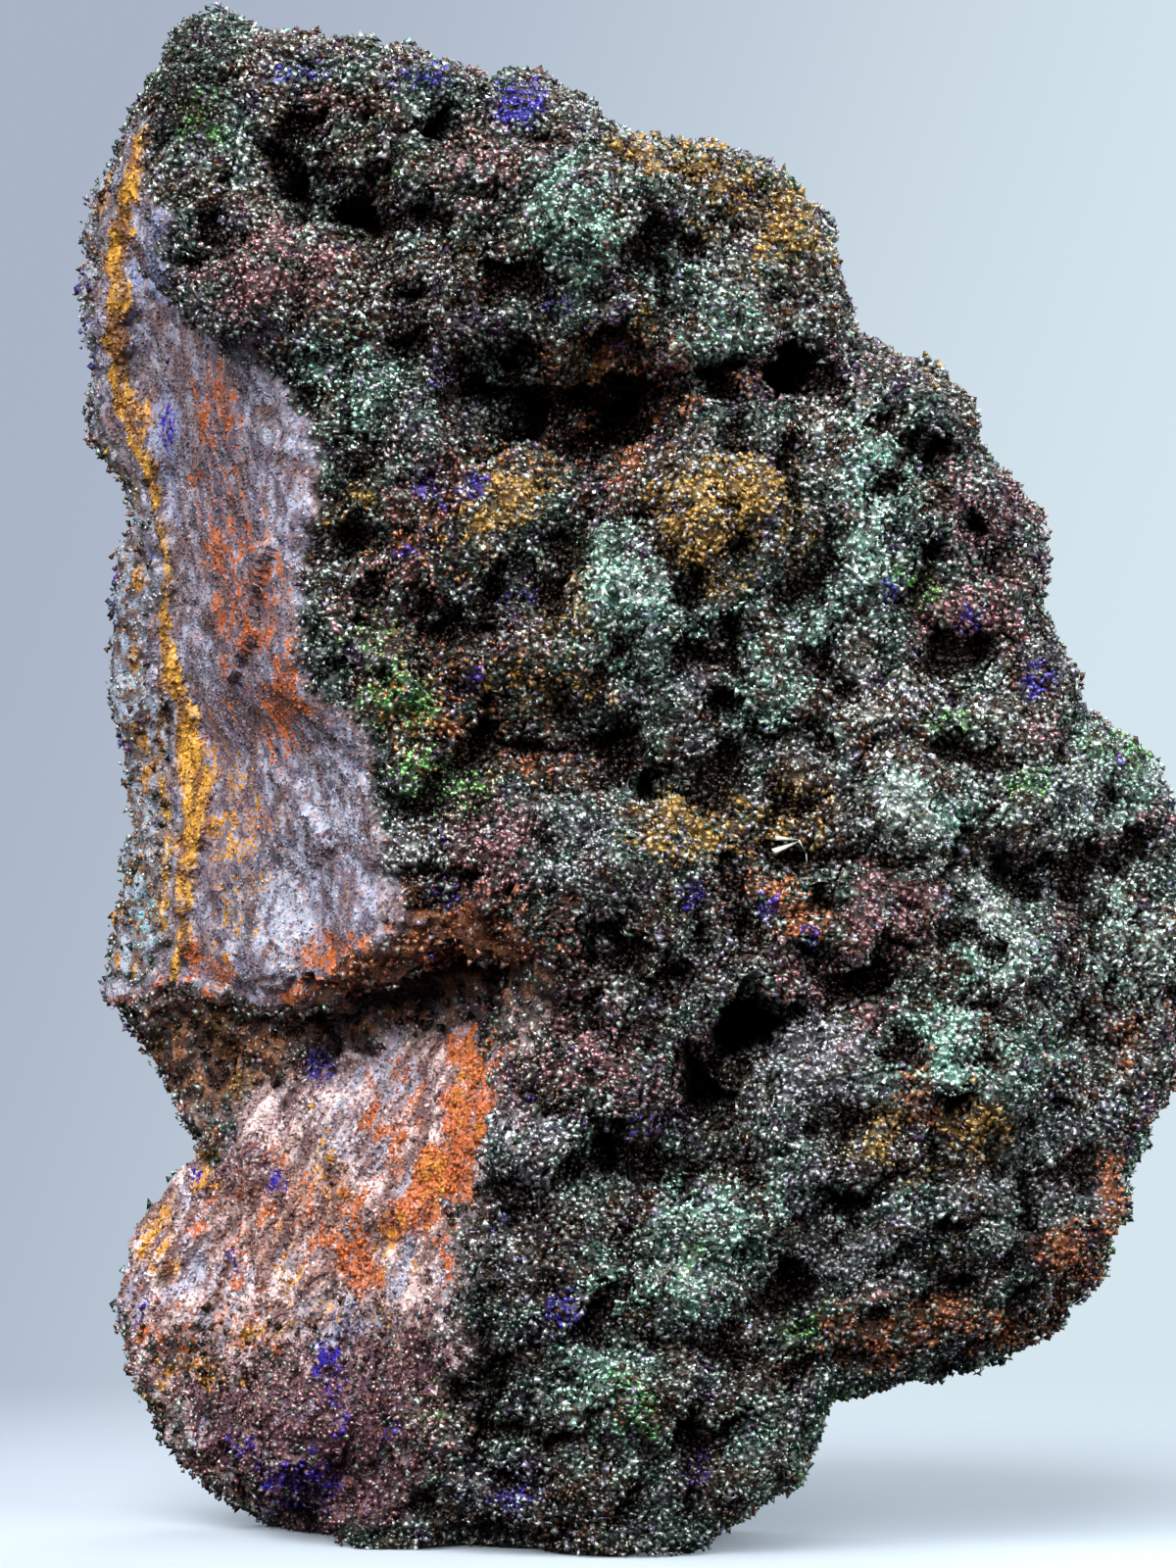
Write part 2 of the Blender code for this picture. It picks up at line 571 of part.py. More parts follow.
def join_meshes(obj, other):
    edit = bmesh.new()
    edit.from_mesh(obj.data)
    edit.from_mesh(other.data)
    edit.to_mesh(obj.data)
    edit.free()
    drop(other)


def reskin(obj, voxel):
    """One closed skin round everything in the object."""
    step = obj.modifiers.new("skin", "REMESH")
    step.mode = "VOXEL"
    step.voxel_size = voxel * MM
    apply_modifiers(obj)


def keep_largest(obj):
    edit = bmesh.new()
    edit.from_mesh(obj.data)
    left = set(edit.verts)
    shells = []
    while left:
        shell = set()
        front = [left.pop()]
        while front:
            vert = front.pop()
            shell.add(vert)
            for edge in vert.link_edges:
                other = edge.other_vert(vert)
                if other in left:
                    left.discard(other)
                    front.append(other)
        shells.append(shell)
    shells.sort(key=len)
    for shell in shells[:-1]:
        bmesh.ops.delete(edit, geom=list(shell), context="VERTS")
    edit.to_mesh(obj.data)
    edit.free()


def soften(obj, factor, rounds):
    step = obj.modifiers.new("soften", "SMOOTH")
    step.factor = factor
    step.iterations = rounds
    apply_modifiers(obj)


def roughen(obj):
    """Noise along the normals: strong on the crust, slight on the broken faces."""
    mesh = obj.data
    normals = [vert.normal.copy() for vert in mesh.vertices]
    for vert, normal in zip(mesh.vertices, normals):
        point = vert.co / MM
        amount = 0.0
        for closeness, height, shift in CRUST_WAVES:
            amount += height * noise.noise(point * closeness + Vector(shift))
        if is_broken_face(vert.co, normal):
            amount *= BREAK_CALM
        vert.co = vert.co + normal * amount * MM


def cut_foot(obj, group):
    """The flat spot that the stone stands on."""
    middle = (WIDTH / 2, DEPTH / 2, FOOT_TRIM)
    combine(obj, flat_cutter(middle, (0, 0, -1), group), "DIFFERENCE")


def thin_out(obj, triangles):
    step = obj.modifiers.new("thin", "DECIMATE")
    step.ratio = triangles / sum(len(face.vertices) - 2 for face in obj.data.polygons)
    step.use_collapse_triangulate = True
    apply_modifiers(obj)


def settle(obj):
    """Bring the stone to its height, with the middle of the box's underside at the origin."""
    points = np.array([vert.co[:] for vert in obj.data.vertices])
    low, high = points.min(axis=0), points.max(axis=0)
    shift = Vector((-(low[0] + high[0]) / 2, -(low[1] + high[1]) / 2, -low[2]))
    growth = HEIGHT * MM / (high[2] - low[2])
    obj.data.transform(Matrix.Scale(growth, 4) @ Matrix.Translation(shift))


def rock_material():
    material = bpy.data.materials.new("crusted_rock")
    material.use_nodes = True
    shader = material.node_tree.nodes["Principled BSDF"]
    shader.inputs["Base Color"].default_value = ROCK_COLOUR
    shader.inputs["Roughness"].default_value = ROCK_ROUGHNESS
    shader.inputs["Metallic"].default_value = 0.0
    return material


def crusted_slab(parts, cutters, rng):
    """The rough block with its lumps grown on it, trimmed to the outline again."""
    stone = rough_block(parts, cutters)
    lumps = lump_blobs(FRONT_LUMPS, FRONT, FRONT_BULK, rng)
    lumps += lump_blobs(BACK_LUMPS, BACK, BACK_BULK, rng)
    join_meshes(stone, blobs_object("lumps", lumps, cutters))
    reskin(stone, ROUGH_VOXEL)
    keep_largest(stone)
    small = scattered_blobs(stone, SMALL_LUMPS, SMALL_LUMP_RADIUS, SMALL_LUMP_SINK, rng)
    join_meshes(stone, blobs_object("small_lumps", small, cutters))
    reskin(stone, FINE_VOXEL)
    combine(stone, outline_block("outline", cutters), "INTERSECT")
    reskin(stone, FINE_VOXEL)
    keep_largest(stone)
    return stone


def cut_hollows(stone, cutters, rng):
    """All pits in one cut."""
    pits = pit_blobs(FRONT_PITS, FRONT, rng) + pit_blobs(BACK_PITS, BACK, rng)
    pits += scattered_blobs(stone, SMALL_PITS, SMALL_PIT_RADIUS, SMALL_PIT_SINK, rng)
    hollows = blobs_object("hollows", pits, cutters)
    reskin(hollows, FINE_VOXEL)
    combine(stone, hollows, "DIFFERENCE")
    reskin(stone, FINE_VOXEL)
    keep_largest(stone)


def main():
    clear_scene()
    parts = new_collection("azurite_with_malachite")
    cutters = new_collection("cutters")
    rng = np.random.default_rng(SEED)
    stone = crusted_slab(parts, cutters, rng)
    cut_hollows(stone, cutters, rng)
    soften(stone, SOFTEN_FACTOR, SOFTEN_ROUNDS)
    roughen(stone)
    thin_out(stone, TRIANGLES)
    cut_foot(stone, cutters)
    settle(stone)
    stone.data.materials.clear()
    stone.data.materials.append(rock_material())


main()
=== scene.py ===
# %% [markdown]
# A lesson in cells: azurite with malachite.
# The stone is a broken slab of iron-rich rock, 34 mm tall. Its good face wears a crust of tiny
# dark crystals, tinted green by malachite and dotted with deep blue azurite. At the left the
# slab is snapped off, and the break shows grey and orange rock with an ochre vein.
# The packed solid gives the form. These cells grow a finer skin on it, colour it and plant the
# crystals.

# %% Open the packed stone
import math

import bmesh
import bpy
import numpy as np
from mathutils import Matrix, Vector


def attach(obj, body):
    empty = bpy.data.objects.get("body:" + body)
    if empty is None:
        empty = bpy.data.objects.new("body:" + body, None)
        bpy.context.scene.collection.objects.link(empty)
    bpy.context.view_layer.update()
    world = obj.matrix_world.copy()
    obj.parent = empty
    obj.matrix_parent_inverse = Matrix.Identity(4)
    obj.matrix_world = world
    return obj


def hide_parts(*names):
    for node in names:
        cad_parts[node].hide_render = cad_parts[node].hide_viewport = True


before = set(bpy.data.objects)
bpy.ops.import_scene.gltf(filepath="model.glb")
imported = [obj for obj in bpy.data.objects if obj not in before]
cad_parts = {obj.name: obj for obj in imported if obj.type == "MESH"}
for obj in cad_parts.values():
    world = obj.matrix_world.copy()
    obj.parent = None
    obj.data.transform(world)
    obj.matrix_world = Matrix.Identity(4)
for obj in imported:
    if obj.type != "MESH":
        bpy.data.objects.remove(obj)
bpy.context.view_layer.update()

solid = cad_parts["azurite_malachite_stone"]

# %% [markdown]
# Everything on the stone was judged from one photograph, so places are written as they are seen
# from the front: `across` from the left edge and `up` from the foot, in millimetres.
# A near point looks farther from the middle than a far one. The helper below allows for that,
# so that one table of places serves lumps at the front and hollows further back.

# %% Places as the front view shows them
MM = 0.001
# The viewer's place in millimetres, and where the stone's left edge lies from the middle.
VIEW_DISTANCE = 152.0
VIEW_ACROSS = -1.05
VIEW_UP = 16.8
LEFT_EDGE = 12.29


def front_view(points):
    """Millimetres across and up, as seen from the front, for points in metres."""
    mm = points / MM
    closer = VIEW_DISTANCE / (VIEW_DISTANCE + mm[:, 1])
    across = LEFT_EDGE + VIEW_ACROSS + (mm[:, 0] - VIEW_ACROSS) * closer
    up = VIEW_UP + (mm[:, 2] - VIEW_UP) * closer
    return across, up


# %% [markdown]
# Rock is irregular at every size, and that calls for noise that can be asked at any point.
# Blender's own noise works one point at a time. With some hundred thousand points it is quicker
# to write the two useful kinds with numpy: a smooth ripple, and the distance to scattered
# centres, which makes the domes of a crystal crust. Every use has its own `salt`, a number that
# picks another pattern of the same kind.

# %% Noise for rock
CHANCE = np.random.default_rng(7).random((8192, 3))
CUBE = [(x, y, z) for x in (-1, 0, 1) for y in (-1, 0, 1) for z in (-1, 0, 1)]
CORNERS = [(x, y, z) for x in (0, 1) for y in (0, 1) for z in (0, 1)]


def chance_at(cell, salt):
    """Three steady random numbers for every whole-number cell."""
    mixed = cell[:, 0] * 73856093 ^ cell[:, 1] * 19349663 ^ cell[:, 2] * 83492791
    return CHANCE[(mixed ^ salt * 7919) % len(CHANCE)]


def ripple(points, size, salt=0):
    """Smooth noise from -1 to 1 with bumps of about that size, in metres."""
    grid = points / size
    cell = np.floor(grid).astype(np.int64)
    part = grid - cell
    part = part * part * (3 - 2 * part)
    total = np.zeros(len(points))
    for corner in CORNERS:
        share = np.where(corner, part, 1 - part).prod(axis=1)
        total += share * chance_at(cell + np.array(corner), salt)[:, 0]
    return total * 2 - 1


def rough(points, size, salt=0, layers=3):
    """Ripples on ripples, each half the size and strength of the one before."""
    total = np.zeros(len(points))
    for layer in range(layers):
        total += ripple(points, size / 2 ** layer, salt + layer) / 2 ** layer
    return total / 1.5


def to_centres(points, size, salt=0):
    """Distance to the nearest scattered centre, in sizes."""
    grid = points / size
    cell = np.floor(grid).astype(np.int64)
    nearest = np.full(len(points), 9.0)
    for step in CUBE:
        neighbour = cell + np.array(step)
        gap = grid - neighbour - chance_at(neighbour, salt)
        nearest = np.minimum(nearest, (gap * gap).sum(axis=1))
    return np.sqrt(nearest)


def domes(points, size, salt=0):
    """Round-topped bumps with creases between them, from 0 to 1."""
    reach = to_centres(points, size, salt) / 0.85
    return np.sqrt(np.clip(1 - reach * reach, 0, 1))


trial = np.random.default_rng(1).random((1000, 3)) * 0.01
print("ripple from", ripple(trial, 0.001).min().round(2), "to", ripple(trial, 0.001).max().round(2))

# %% [markdown]
# The packed solid has facets half a millimetre wide, far coarser than real rock. Dragging its
# corners about would keep those facets. Remeshing gives even little squares instead, and a few
# rounds of smoothing melt the facets away, so that new detail starts from a calm surface.
# A subdivision modifier would be the other way, but it rounds lumps and ledges unevenly.

# %% Lay a fine skin over the stone
SKIN_VOXEL = 0.145
CALMING_ROUNDS = 6


def weld(mesh):
    """Joins corners that share a place, so that the mesh is one closed surface."""
    work = bmesh.new()
    work.from_mesh(mesh)
    bmesh.ops.remove_doubles(work, verts=work.verts, dist=1e-7)
    work.to_mesh(mesh)
    work.free()


def settle_modifiers(obj):
    """Replaces the object's mesh by what its modifiers make of it."""
    bpy.context.view_layer.update()
    result = bpy.data.meshes.new_from_object(obj.evaluated_get(bpy.context.evaluated_depsgraph_get()))
    obj.modifiers.clear()
    obj.data = result


stone = bpy.data.objects.new("stone_skin", solid.data.copy())
bpy.context.scene.collection.objects.link(stone)
stone.data.materials.clear()
weld(stone.data)
remesh = stone.modifiers.new("fine squares", "REMESH")
remesh.mode = "VOXEL"
remesh.voxel_size = SKIN_VOXEL * MM
calm = stone.modifiers.new("calm", "SMOOTH")
calm.factor = 0.5
calm.iterations = CALMING_ROUNDS
settle_modifiers(stone)
print("skin:", len(stone.data.polygons), "squares of", SKIN_VOXEL, "mm")

# %% [markdown]
# Two kinds of surface meet on this stone. Most of it is crust. The left side is a fresh break,
# nearly flat, with a recess, a hollow and a rounded lobe below. Each part of the break is
# outlined as the front view shows it. Selecting faces by hand would be the usual way, but an
# outline still holds when the mesh changes. Two ochre veins are lines with a half width.

# %% Outlines of the break
LEFT_FACE = [
    (1.2, 31.5), (1.6, 29.9), (2, 27.9), (2.7, 26.7), (3.9, 26.2), (4.7, 25.5), (5.1, 23.8), (5.2, 22.1),
    (5, 20.3), (5.3, 18.9), (5.7, 18), (6.5, 17.3), (6.8, 16.2), (7, 15.1), (7.4, 14), (6.3, 13),
    (5.4, 12.3), (4.5, 11.6), (2.8, 12), (2.2, 12.3), (1.5, 11.8), (0.6, 12.2), (1.5, 12.6), (1.8, 13.6),
    (1.8, 14.7), (2.1, 15.8), (1.9, 16.8), (1.9, 17.7), (1.7, 18.8), (1.5, 20.1), (1.6, 21.2),
    (1.5, 22.3), (1.2, 23.3), (0.8, 24.3), (0.4, 25.5), (0.3, 26.8), (0.4, 28.6), (0.6, 29.9), (1, 31.4),
]
LEFT_EDGE_STRIP = [
    (1.5, 31.6), (1.2, 29.9), (1, 28.6), (0.9, 26.8), (1.1, 25.5), (1.4, 24.5), (1.7, 23.4), (1.9, 22.3),
    (2, 21.2), (1.9, 20.1), (2.1, 18.8), (2.2, 16.8), (2.3, 15.8), (2.1, 14.7), (2.1, 13.4), (1.7, 12.5),
    (0.8, 12.2), (0.2, 12.3), (0.2, 14.7), (0.2, 19), (0.2, 23.4), (-0.5, 25.1), (-0.5, 28.8),
    (0.2, 31.2),
]
RECESS = [
    (7.4, 14.1), (5.4, 12.5), (4.5, 11.8), (4.7, 10.9), (5.8, 10.5), (7.8, 11.2), (9.1, 11.2),
    (10.4, 11.7), (10.6, 12.8), (9.3, 13.8),
]
HOLLOW = [
    (1.2, 12.2), (2.8, 12.3), (4.5, 11.8), (4.9, 10.1), (2.9, 8.8), (1.5, 9.9),
]
LOBE = [
    (2.7, 8.9), (4.7, 10.1), (6, 10.9), (7.5, 11.5), (9.1, 11.6), (9.7, 11), (9.4, 10), (9, 9.2),
    (8.8, 8.4), (8, 7.3), (8.6, 6), (8.1, 4.9), (8.5, 3.8), (7.5, 2.5), (7.1, 1), (5.8, 0), (4.1, 0.3),
    (2.5, 1.4), (1.2, 2.9), (0.2, 4.5), (0.2, 6.2), (0.9, 7.5), (1.7, 8.6),
]
VEIN = [
    (1.4, 31.3, 0.22), (1, 29.9, 0.28), (0.8, 28.6, 0.3), (0.8, 26.8, 0.3), (0.9, 25.5, 0.3),
    (1.2, 24.5, 0.3), (1.6, 23.4, 0.15), (1.8, 22.3, 0.13), (1.9, 21.2, 0.13), (1.8, 20.1, 0.15),
    (2.1, 19, 0.24), (2.4, 17.9, 0.37), (2.5, 16.8, 0.41), (2.5, 15.8, 0.37), (2.3, 14.7, 0.22),
    (2.3, 13.4, 0.2), (2, 12.5, 0.13),
]
THIN_VEIN = [
    (1.8, 20.3, 0.11), (1.7, 17.3, 0.13), (1.9, 15.8, 0.15), (1.8, 13.6, 0.13),
]
print("the outline of the face has", len(LEFT_FACE), "points, that of the lobe", len(LOBE))

# %% [markdown]
# Crust and rock don't meet at a clean line. So the distance to each outline is roughened with
# noise and then eased from 0 to 1. That tells how far a point belongs to each part.

# %% Where the stone is broken
# How loosely the crust ends at each part of the break: 1 is crisp, and 3 is ragged.
BROKEN_PARTS = {
    "face": (LEFT_FACE, 1.8), "edge": (LEFT_EDGE_STRIP, 1.0), "recess": (RECESS, 1.6),
    "hollow": (HOLLOW, 1.6), "lobe": (LOBE, 3.2),
}
FAR_AWAY = 99.0


def to_segment(across, up, x0, y0, x1, y1):
    """Share of a straight line at which each place is nearest to it, and the gap between them."""
    length = (x1 - x0) ** 2 + (y1 - y0) ** 2
    along = np.clip(((across - x0) * (x1 - x0) + (up - y0) * (y1 - y0)) / length, 0, 1)
    return along, np.hypot(across - x0 - along * (x1 - x0), up - y0 - along * (y1 - y0))


def inside(across, up, outline):
    """Millimetres inside an outline; negative outside it."""
    edge = np.full(len(across), FAR_AWAY)
    odd = np.zeros(len(across), bool)
    for (x0, y0), (x1, y1) in zip(outline, outline[1:] + outline[:1]):
        edge = np.minimum(edge, to_segment(across, up, x0, y0, x1, y1)[1])
        if y0 != y1:
            crossing = x0 + (up - y0) * (x1 - x0) / (y1 - y0)
            odd ^= ((y0 > up) != (y1 > up)) & (across < crossing)
    return np.where(odd, edge, -edge)


def band(across, up, line, fray):
    """1 on a line of changing half width, 0 away from it."""
    best = np.zeros(len(across))
    for (x0, y0, w0), (x1, y1, w1) in zip(line, line[1:]):
        along, gap = to_segment(across, up, x0, y0, x1, y1)
        best = np.maximum(best, 1 - ease(gap / (w0 + along * (w1 - w0)) + fray, 0.7, 1.2))
    return best


def ease(value, low, high):
    """0 below low, 1 above high, and a smooth rise between."""
    t = np.clip((value - low) / (high - low), 0, 1)
    return t * t * (3 - 2 * t)


def broken_parts(points, normals):
    """How far each point belongs to each part of the break, from 0 to 1."""
    across, up = front_view(points)
    wander = 0.3 * rough(points, 1.2 * MM, 11) + 0.12 * ripple(points, 0.3 * MM, 15)
    seen = ease(-normals[:, 1] - 0.6 * normals[:, 0], -0.25, 0.05)
    return {
        name: seen * ease(inside(across, up, outline) + wander * loose, -0.16 * loose, 0.16 * loose)
        for name, (outline, loose) in BROKEN_PARTS.items()
    }


print("parts of the break:", list(BROKEN_PARTS))

# %% [markdown]
# A piece may have 200,000 triangles, and the front needs most of them. The back is seen less
# closely, so its share is thinned out. The Decimate modifier joins corners where that changes
# the form least, and a vertex group tells it where it may work.

# %% Fewer triangles at the back
def corners(mesh):
    """Places and normals of all corners, as two arrays."""
    places = np.empty(len(mesh.vertices) * 3)
    mesh.vertices.foreach_get("co", places)
    normals = np.empty(len(mesh.vertices) * 3)
    mesh.vertex_normals.foreach_get("vector", normals)
    return places.reshape(-1, 3), normals.reshape(-1, 3)


SKIN_TRIANGLES = 186000

places, normals = corners(stone.data)
behind = np.clip(normals[:, 1] * 2 + 0.3, 0, 1)
group = stone.vertex_groups.new(name="behind")
for number in np.flatnonzero(behind > 0.01).tolist():
    group.add([number], float(behind[number]), "REPLACE")
thin = stone.modifiers.new("thin out", "DECIMATE")
thin.ratio = SKIN_TRIANGLES / (2 * len(stone.data.polygons))
thin.vertex_group = "behind"
thin.use_collapse_triangulate = True
settle_modifiers(stone)
stone.vertex_groups.clear()
print("the skin now has", len(stone.data.polygons), "triangles")

# %% [markdown]
# Now the relief, first the forms that anyone would know this stone by. Ridges and cracks on the
# break are lines with a half width. Mounds, hollows and spots of painted shade on the crust are
# soft ovals: place across and up, half width, half height, and how far they come out, go in or
# are painted darker. Sculpting by hand is the usual way. A table keeps each lump open to change.

# %% Ridges, cracks, hollows, mounds and spots of painted shade, as the front view shows them
RIDGES = [
    [(0.7, 12.2, 0.2), (1.5, 11.9, 0.2), (2.2, 12.4, 0.2), (2.8, 12.2, 0.22), (4.5, 11.8, 0.22),
     (5.4, 12.4, 0.2), (6.3, 13.1, 0.2), (7.2, 13.9, 0.15)],
    [(4.5, 17.0, 0.15), (5.0, 16.2, 0.2), (5.5, 15.4, 0.17)],
    [(2.2, 15.5, 0.13), (2.5, 14.9, 0.15), (2.5, 14.0, 0.13)],
    [(4.1, 22.1, 0.11), (3.9, 21.2, 0.13), (3.8, 20.1, 0.13), (3.4, 19.2, 0.11)],
    [(2.7, 11.7, 0.13), (3.6, 11.2, 0.17), (4.7, 10.2, 0.13)],
]
CRACKS = [
    [(2.0, 20.8, 0.04), (2.3, 20.8, 0.07), (2.6, 20.8, 0.04)],
    [(4.0, 13.6, 0.07), (4.2, 13.0, 0.09), (4.3, 12.4, 0.07)],
    [(4.7, 12.7, 0.07), (4.6, 11.8, 0.09)],
    [(5.1, 15.9, 0.07), (5.4, 15.1, 0.09), (5.1, 14.6, 0.07)],
]
# Spots of painted shade: across, up, half width, half height, and how much darker the crust is painted.
PAINTED_SHADES = [
    (2.3, 32.5, 1.3, 2.2, 0.65), (4.2, 27.9, 1.7, 1.3, 0.3), (20.8, 5.8, 2.8, 1.2, 0.4),
    (9.2, 5.1, 1, 2.8, 0.4), (11, 24.9, 2, 1.1, 0.4), (5.8, 22.4, 0.9, 0.7, 0.4),
    (8.2, 20.1, 1.7, 1.1, 0.5), (9.1, 18, 1.3, 0.9, 0.35), (11.2, 13.7, 2, 0.5, 0.2),
    (9.1, 14, 2.2, 0.7, 0.4), (16.7, 13.8, 0.9, 1.1, 0.15), (18.4, 13.4, 0.9, 0.6, 0.24),
    (14.6, 11.2, 1.1, 0.9, 0.3), (12.3, 10.1, 1.1, 1.3, 0.3), (5.6, 0.9, 1.7, 0.9, 0.4),
    (13.8, 1, 1.3, 0.9, 0.3), (4.7, 30.3, 1.1, 0.9, 0.3), (6.5, 29.5, 1.3, 0.9, 0.4),
    (7.8, 27.1, 1.5, 1.1, 0.45), (6.5, 23.8, 1.3, 1.3, 0.25), (7.8, 21.4, 1.7, 1.1, 0.3),
    (10.4, 22.1, 1.3, 0.9, 0.25), (21.2, 14.9, 1.1, 0.4, 0.3), (17.8, 4.5, 2.6, 0.9, 0.4),
    (3.2, 2.3, 2.6, 1.5, 0.2), (10.4, 27.1, 1.3, 0.9, 0.3), (11.7, 17.7, 1.1, 0.7, 0.4),
]
HOLLOWS = [
    (4.9, 30, 0.7, 0.7, 1.8), (6.2, 29.3, 0.8, 0.6, 2.2), (4.3, 30.8, 0.6, 0.5, 1.3),
    (6.1, 31.7, 0.3, 0.3, 0.9), (7.8, 31.7, 0.3, 0.3, 0.9), (7.5, 29.6, 0.7, 0.4, 1),
    (7.2, 27.7, 0.4, 0.3, 1), (8.2, 28.5, 0.3, 0.3, 0.8), (8.5, 27.4, 0.3, 0.3, 0.8),
    (7.3, 26.5, 0.3, 0.3, 0.8), (8.7, 25.9, 0.9, 0.5, 1.3), (9.5, 25.9, 1.2, 0.7, 1.4),
    (10, 24.8, 0.8, 0.9, 1.3), (10.5, 24, 0.4, 0.6, 1.2), (11.8, 25.1, 1.1, 0.9, 0.5),
    (14.4, 25.9, 1.3, 0.3, 1.8), (14.2, 25.4, 0.7, 0.3, 1), (13.4, 30.3, 0.5, 0.3, 0.9),
    (15.8, 23.4, 0.3, 1.3, 0.9), (18.6, 24.2, 0.3, 0.7, 0.8), (6.1, 22.2, 0.9, 0.6, 1.1),
    (6.6, 20.5, 1, 0.3, 1), (8.4, 20.3, 1.3, 0.5, 1.3), (7.3, 19.5, 0.3, 0.3, 0.7),
    (6.6, 19.2, 0.3, 0.3, 0.9), (8.4, 19, 0.7, 0.3, 0.9), (9, 18.3, 0.3, 0.6, 0.9),
    (10, 17.6, 0.9, 0.3, 0.9), (11.6, 17.7, 0.7, 0.2, 0.8), (12.7, 16.7, 0.6, 0.2, 1.4),
    (8.4, 14.7, 0.7, 0.4, 1.1), (13.4, 20.2, 0.3, 0.2, 0.5), (16.2, 14.1, 0.7, 0.7, 1),
    (18.2, 13.3, 0.5, 0.4, 1.8), (20.8, 14.9, 0.9, 0.3, 1.9), (23, 15.1, 0.6, 0.2, 0.8),
    (14.6, 11.4, 0.8, 0.7, 2.3), (13.9, 10.2, 0.6, 0.9, 1.5), (16.6, 12.8, 1, 0.3, 0.9),
    (11.8, 8.6, 0.7, 0.6, 1.1), (9.6, 7.6, 0.7, 1.1, 0.7), (10.4, 9.5, 0.4, 0.4, 0.5),
    (16.6, 7.7, 0.8, 0.2, 1), (17.2, 12.5, 0.7, 0.3, 0.7), (14.1, 6.3, 0.3, 0.2, 0.8),
    (8.8, 3.8, 0.6, 1.5, 0.7), (19.9, 22.1, 0.2, 0.7, 0.5), (13.2, 28.8, 0.3, 0.4, 0.5),
    (14.7, 20.1, 0.3, 0.7, 0.6), (9.5, 22.1, 0.4, 0.3, 0.5), (11, 22.4, 0.3, 0.3, 0.5),
    (19.1, 20.1, 0.3, 0.4, 0.6), (20.2, 12.1, 0.6, 0.3, 0.7), (11.2, 12.8, 0.4, 0.3, 0.7),
    (10.4, 7.3, 0.3, 0.5, 0.6), (17.8, 6.2, 0.9, 0.2, 0.5),
]
MOUNDS = [
    (14.3, 22.8, 1.4, 1.4, 1), (11, 29.2, 1.5, 1.3, 0.7), (9.3, 30.7, 1.3, 0.9, 0.4),
    (4.2, 27.9, 1.7, 1.1, 0.6), (13.4, 26.6, 1.5, 0.5, 0.6), (15.6, 26.6, 0.9, 0.6, 0.5),
    (8.6, 22.9, 1.3, 1, 0.5), (12.1, 21, 1.7, 1.3, 0.6), (14.9, 20.8, 1.1, 1.3, 0.4),
    (17.5, 22.1, 1, 2.4, 0.5), (11.2, 15.3, 2.2, 1.5, 0.7), (9.1, 15.5, 1.1, 1.1, 0.4),
    (13.4, 18.6, 1.3, 1.1, 0.4), (20.6, 16.2, 0.9, 0.7, 0.9), (18.3, 15.9, 0.9, 1, 0.6),
    (20.2, 12.9, 1, 1.1, 0.7), (18.8, 10.7, 1.3, 1, 0.4), (13, 12.5, 1.1, 1.3, 0.5),
    (10.4, 10.8, 1.3, 0.9, 0.4), (16.6, 10.7, 1.3, 0.9, 0.3), (13.8, 7.1, 2.4, 1, 0.7),
    (12.1, 5.3, 2, 1.3, 0.5), (17.8, 8.6, 1.3, 0.7, 0.5), (10.4, 8.6, 0.7, 0.7, 0.5),
    (7.2, 18.8, 0.9, 0.9, 0.5), (7.8, 16.8, 0.9, 1.1, 0.4), (8, 24.7, 1.3, 0.7, 0.3),
    (17.8, 25.7, 1.1, 0.5, 0.4), (20.2, 22.9, 0.9, 0.9, 0.5), (19.5, 20.8, 0.9, 0.7, 0.4),
    (7.5, 32.6, 0.8, 0.5, 0.5), (9.7, 31.9, 0.9, 0.6, 0.6), (2.8, 31.8, 1.3, 1.5, 0.3),
    (12.1, 2.9, 2.4, 1.1, 0.5), (16, 29, 0.9, 0.9, 0.5), (14.3, 30.1, 1.1, 0.5, 0.4),
    (5.8, 26.2, 0.9, 1.3, 0.3), (5.6, 2.7, 2.2, 1.3, 0.5),
]
print(len(HOLLOWS), "hollows,", len(MOUNDS), "mounds,", len(RIDGES) + len(CRACKS), "ridges and cracks")

# %% [markdown]
# The crust grew as domes on domes, like a cauliflower, with dark creases and small caves between
# them. Every layer pushes the surface out or in along its normal: big domes, small domes, caves,
# then gaps. The break gets grit and faint ridges that follow the way the rock split. Nearly
# upright on the face, they lean on the lobe.

# %% Heights of crust and break
CAVE_DEPTH = 0.4
GAP_DEPTH = 0.55
CRUST_SETBACK = 0.2
DOME_SIZES = ((2.0, 0.18), (0.95, 0.36), (0.46, 0.38))
FACE_LEAN = -0.2
LOBE_LEAN = 0.55
VEIN_LEAN = 0.05
GAP_LEAN = 0.9
LOBE_TOP = 10.5
FACE_STREAKS = 0.14
LOBE_STREAKS = 0.34
ROCK_GRAIN = 0.05
FINE_GRIT = 0.06
RIDGE_HEIGHT = 0.25
CRACK_DEPTH = 0.09


def along_grain(points, lean, stretch):
    """Points squeezed along a leaning line, so that noise read there comes out stretched."""
    line = np.array([math.sin(lean), 0.0, math.cos(lean)])
    return points - np.outer(points @ line, line) * (1 - 1 / stretch)


